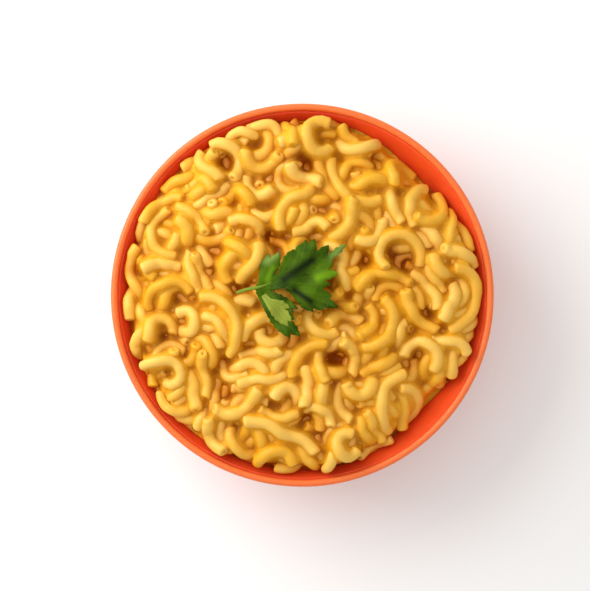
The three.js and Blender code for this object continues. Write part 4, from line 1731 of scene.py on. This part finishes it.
@dataclass
class Parsley:
    """The sprig: a thin wavy leaf, the part of it that is folded over, and its stem."""

    relief: Relief
    thickness: float = 0.4
    pitch: float = 0.42
    margin: float = 5.0
    overhang: float = 0.1
    teeth: float = 0.3
    fit_passes: int = 3
    fit_step: float = 0.3
    probe: float = 0.02
    least_steepness: float = 0.2
    edge_width: float = 0.5
    curl: float = 0.5
    curl_width: float = 1.4
    vein_rise: float = 0.12
    turned_rise: float = 1.1
    fold_rise: float = 0.55
    fold_place: Place = (-18.0, 1.5)
    fold_slope: float = 1.3
    fold_scale: float = 1.64
    fold_width: float = 4.0
    stem_radius: float = 0.85
    stem_taper: float = 0.62
    stem_end: float = 0.6
    stem_rings: int = 28
    stem_sides: int = 12
    stem_groove: float = 0.14
    clearance: float = 0.05
    finish: FreshLeaf = field(default_factory=FreshLeaf)

    def wave(self, x: Array, y: Array) -> Array:
        """Height of the leaf's middle surface, creased along its midrib, rippled and drooping.

        Args:
            x: Places across the plan.
            y: Places up the plan.

        Returns:
            The height at each place.
        """
        crease = np.abs(y - 4 - 0.42 * (x + 21)) * 0.1
        ripple = 0.7 * np.sin(0.42 * x - 0.3 * y) + 0.6 * np.sin(0.5 * y + 0.12 * x + 1.2)
        droop = 0.0045 * ((x + 4) ** 2 + (y - 5) ** 2)
        return crease + ripple - droop

    def _inside(self, lobes: Sequence[Lobe], flat: Array) -> Array:
        """How far inside the lobes' shared outline points on the plan lie."""
        return np.max([lobe.depth(flat[:, 0], flat[:, 1], self.teeth) for lobe in lobes], axis=0)

    def _field(self, lobes: Sequence[Lobe]) -> tuple[Array, Array]:
        """A field of nearly equal-sided triangles over some lobes.

        Args:
            lobes: The lobes that it covers.

        Returns:
            Its points on the plan and its triangles.
        """
        places = np.array([place for lobe in lobes for place in (lobe.start, lobe.end)])
        west, south = places.min(0) - self.margin
        east, north = places.max(0) + self.margin
        columns = np.arange(west, east, self.pitch)
        x, y = np.meshgrid(columns, np.arange(south, north, self.pitch * math.sqrt(0.75)))
        odd = (np.arange(len(x)) % 2)[:, None]
        x = x + odd * 0.5 * self.pitch
        number = np.arange(x.size).reshape(x.shape)
        a, b = number[:-1, :-1], number[:-1, 1:]
        d, c = number[1:, :-1], number[1:, 1:]
        even = (odd[:-1] == 0)[..., None]
        one = np.where(even, np.stack([a, b, d], -1), np.stack([a, b, c], -1))
        two = np.where(even, np.stack([b, c, d], -1), np.stack([a, c, d], -1))
        triangles = np.concatenate([one.reshape(-1, 3), two.reshape(-1, 3)])
        return np.stack([x.ravel(), y.ravel()], 1), triangles

    def _cut_out(self, lobes: Sequence[Lobe]) -> tuple[Array, Array]:
        """Cuts the lobes' outline out of a field of triangles.

        Args:
            lobes: The lobes that it keeps.

        Returns:
            The points on the plan, those of the border on the outline, and the triangles.
        """
        flat, triangles = self._field(lobes)
        kept = self._inside(lobes, flat) > -self.overhang * self.pitch
        triangles = without_pinches(triangles[kept[triangles].all(1)])
        used, triangles = np.unique(triangles, return_inverse=True)
        triangles = triangles.reshape(-1, 3)
        flat = flat[used]
        rim = np.unique(border_of(triangles))
        for _ in range(self.fit_passes):
            here = self._inside(lobes, flat[rim])
            slope_x = (self._inside(lobes, flat[rim] + [self.probe, 0]) - here) / self.probe
            slope_y = (self._inside(lobes, flat[rim] + [0, self.probe]) - here) / self.probe
            steepness = np.maximum(slope_x**2 + slope_y**2, self.least_steepness)
            move = np.clip(here / steepness, -self.fit_step, self.fit_step)
            flat[rim] -= np.stack([move * slope_x, move * slope_y], 1)
        return flat, triangles

    def sheet(self, lobes: Sequence[Lobe], rise: float, under: float) -> dict[str, Array]:
        """One thin sheet over some lobes.

        Args:
            lobes: The lobes that it covers.
            rise: How much higher than the leaf's middle surface it lies.
            under: 1 where the leaf's underside shows, and 0 elsewhere.

        Returns:
            Its points, its triangles and the numbers that its material needs.
        """
        flat, triangles = self._cut_out(lobes)
        x, y = flat[:, 0], flat[:, 1]
        inside = self._inside(lobes, flat)
        veins = np.max([lobe.veins(x, y) for lobe in lobes], axis=0)
        thin = smooth_step(np.maximum(inside, 0), 0, self.edge_width) * 0.5 + 0.5
        lift = 0.5 + 0.5 * np.sin(0.9 * x + 0.7 * y)
        curl = -self.curl * (1 - smooth_step(inside, 0, self.curl_width)) * lift
        middle = self.wave(x, y) + rise + curl + self.vein_rise * veins
        if under:
            from_fold = np.abs(y - self.fold_place[1] + self.fold_slope * (x - self.fold_place[0]))
            from_fold /= self.fold_scale
            folded = 1 - smooth_step(from_fold, 0, self.fold_width)
            middle -= (rise - self.fold_rise) * folded
        half = 0.5 * self.thickness * thin
        faces = [np.column_stack([x, y, middle + half]), np.column_stack([x, y, middle - half])]
        down = len(flat)
        start, end = border_of(triangles).T
        walls = [
            np.column_stack([start, down + start, down + end]),
            np.column_stack([start, down + end, end]),
        ]
        return {
            "points": np.concatenate(faces),
            "faces": np.concatenate([triangles, down + triangles[:, ::-1], *walls]),
            "vein": np.concatenate([veins, veins]),
            "under": np.concatenate([np.full(down, under), np.ones(down)]),
            "stalk": np.zeros(2 * down),
        }

    def stem(self) -> dict[str, Array]:
        """The stem, round and grooved, tapering into the leaf.

        Returns:
            Its points, its triangles and the numbers that its material needs.
        """
        bends = np.array(STEM)
        t = np.linspace(0, len(bends) - 1, self.stem_rings)
        x, y = (np.interp(t, np.arange(len(bends)), column) for column in bends.T)
        kernel = np.ones(5) / 5
        x[2:-2], y[2:-2] = np.convolve(x, kernel, "valid"), np.convolve(y, kernel, "valid")
        centre = np.column_stack([x, y, self.wave(x, y)])
        radius = self.stem_radius * (1 - self.stem_taper * smooth_step(t / t[-1], 0.55, 1.0))
        radius[0] *= self.stem_end
        along = unit(np.gradient(centre, axis=0))
        level = unit(np.cross([0, 0, 1], along))
        from_top = ring_angles(self.stem_sides) - math.pi / 2
        groove = 1 - self.stem_groove * np.exp(-((from_top / 0.5) ** 2))
        points = tube_points(centre, level, np.cross(along, level), radius[:, None] * groove)
        sides, start, end = tube_faces(self.stem_rings, self.stem_sides)
        faces = np.concatenate([sides[:, [0, 1, 2]], sides[:, [0, 2, 3]], start, end])
        points = np.concatenate([points.reshape(-1, 3), centre[[0, -1]]])
        count = len(points)
        none, all_over = np.zeros(count), np.ones(count)
        return {"points": points, "faces": faces, "vein": none, "under": none, "stalk": all_over}

    def build(self) -> bpy.types.Object:
        """Joins the sheets and the stem and lays the sprig on the heap.

        Returns:
            The dressed parsley.
        """
        parts = [
            self.sheet(LOBES, 0.0, 0.0),
            self.sheet(TURNED_LOBES, self.turned_rise, 1.0),
            self.stem(),
        ]
        starts = np.cumsum([0] + [len(part["points"]) for part in parts])
        points = np.concatenate([part["points"] for part in parts])
        faces = np.concatenate([part["faces"] + start for part, start in zip(parts, starts)])
        floor = self.relief.at(self.relief.top, points[:, 0], points[:, 1])
        points[:, 2] += (floor - points[:, 2]).max() + self.clearance
        piece = mesh_object("parsley_sprig", points, faces.tolist())
        for name in ("vein", "under", "stalk"):
            store(piece, name, np.concatenate([part[name] for part in parts]))
        # Patches of painted shade, painted light and paler tips, stored on the leaf's points for its
        # material
        for name, patches in TONES.items():
            near = [patch.nearness(points[:, 0], points[:, 1]) for patch in patches]
            store(piece, name, np.max(near, axis=0))
        declare(piece, "parsley", self.finish.material())
        return piece


# Studio


class Side(Enum):
    """Where a lamp stands, as a direction from the bowl."""

    UPPER_LEFT = (-0.8, 0.5, 0.75)
    RIGHT = (0.9, -0.15, 0.6)
    OVERHEAD = (-0.1, 0.15, 1.0)


@dataclass(frozen=True)
class Lamp:
    """A square lamp that faces the bowl, with its distance and size in metres."""

    name: str
    side: Side
    distance: float
    size: float
    watts: float

    def build(self) -> None:
        """Adds the lamp."""
        data = bpy.data.lights.new(self.name, "AREA")
        data.shape = "SQUARE"
        data.size = self.size
        data.energy = self.watts
        lamp = bpy.data.objects.new(self.name, data)
        bpy.context.scene.collection.objects.link(lamp)
        lamp.location = unit(np.array(self.side.value)) * self.distance
        lamp.rotation_mode = "QUATERNION"
        lamp.rotation_quaternion = lamp.location.to_track_quat("Z", "Y")


@dataclass
class Studio:
    """The plain floor, the soft lamps and the camera that looks straight down, in metres."""

    camera_rise: float = 0.8
    lens_share: float = 0.12311
    sensor_width_mm: float = 36.0
    camera_shift: Place = (-0.00361, -0.00015)
    floor_size: float = 4.0
    sky_colour: Colour = (1.0, 0.99, 0.97, 1.0)
    sky_strength: float = 0.7
    lamps: tuple[Lamp, ...] = (
        Lamp("key", Side.UPPER_LEFT, distance=0.62, size=0.5, watts=3.6),
        Lamp("fill", Side.RIGHT, distance=1.3, size=0.9, watts=0.3),
        Lamp("overhead", Side.OVERHEAD, distance=1.5, size=1.0, watts=1.6),
    )

    def floor(self) -> None:
        """Adds the plain pale floor."""
        clear_selection()
        bpy.ops.mesh.primitive_plane_add(size=self.floor_size)
        floor = bpy.context.object
        floor.name = "floor"
        floor.data.materials.append(PaleCard().material())

    def camera(self) -> None:
        """Adds the camera straight above the bowl."""
        data = bpy.data.cameras.new("camera")
        data.sensor_width = self.sensor_width_mm
        data.lens = self.lens_share * self.camera_rise / MM
        camera = bpy.data.objects.new("camera", data)
        bpy.context.scene.collection.objects.link(camera)
        camera.location = (*self.camera_shift, BOWL_HEIGHT * MM + self.camera_rise)
        bpy.context.scene.camera = camera

    def sky(self) -> None:
        """Gives the room its even pale light."""
        world = bpy.data.worlds.new("room")
        world.use_nodes = True
        background = world.node_tree.nodes["Background"]
        background.inputs["Color"].default_value = self.sky_colour
        background.inputs["Strength"].default_value = self.sky_strength
        bpy.context.scene.world = world

    def build(self) -> None:
        """Sets up the whole studio."""
        bpy.context.scene.view_settings.view_transform = "Standard"
        self.floor()
        self.camera()
        self.sky()
        for lamp in self.lamps:
            lamp.build()


def main() -> None:
    """Builds every piece in order."""
    logging.basicConfig(level=logging.INFO, format="%(name)s: %(message)s")
    bowl = Bowl()
    bowl.build()
    heap = Heap(bowl)
    heap.scatter()
    heap.settle()
    relief = Relief(heap)
    relief.build()
    Macaroni(heap, relief).build()
    Sauce(heap, relief, bowl).build()
    Parsley(relief).build()
    Studio().build()


if __name__ == "__main__":
    main()
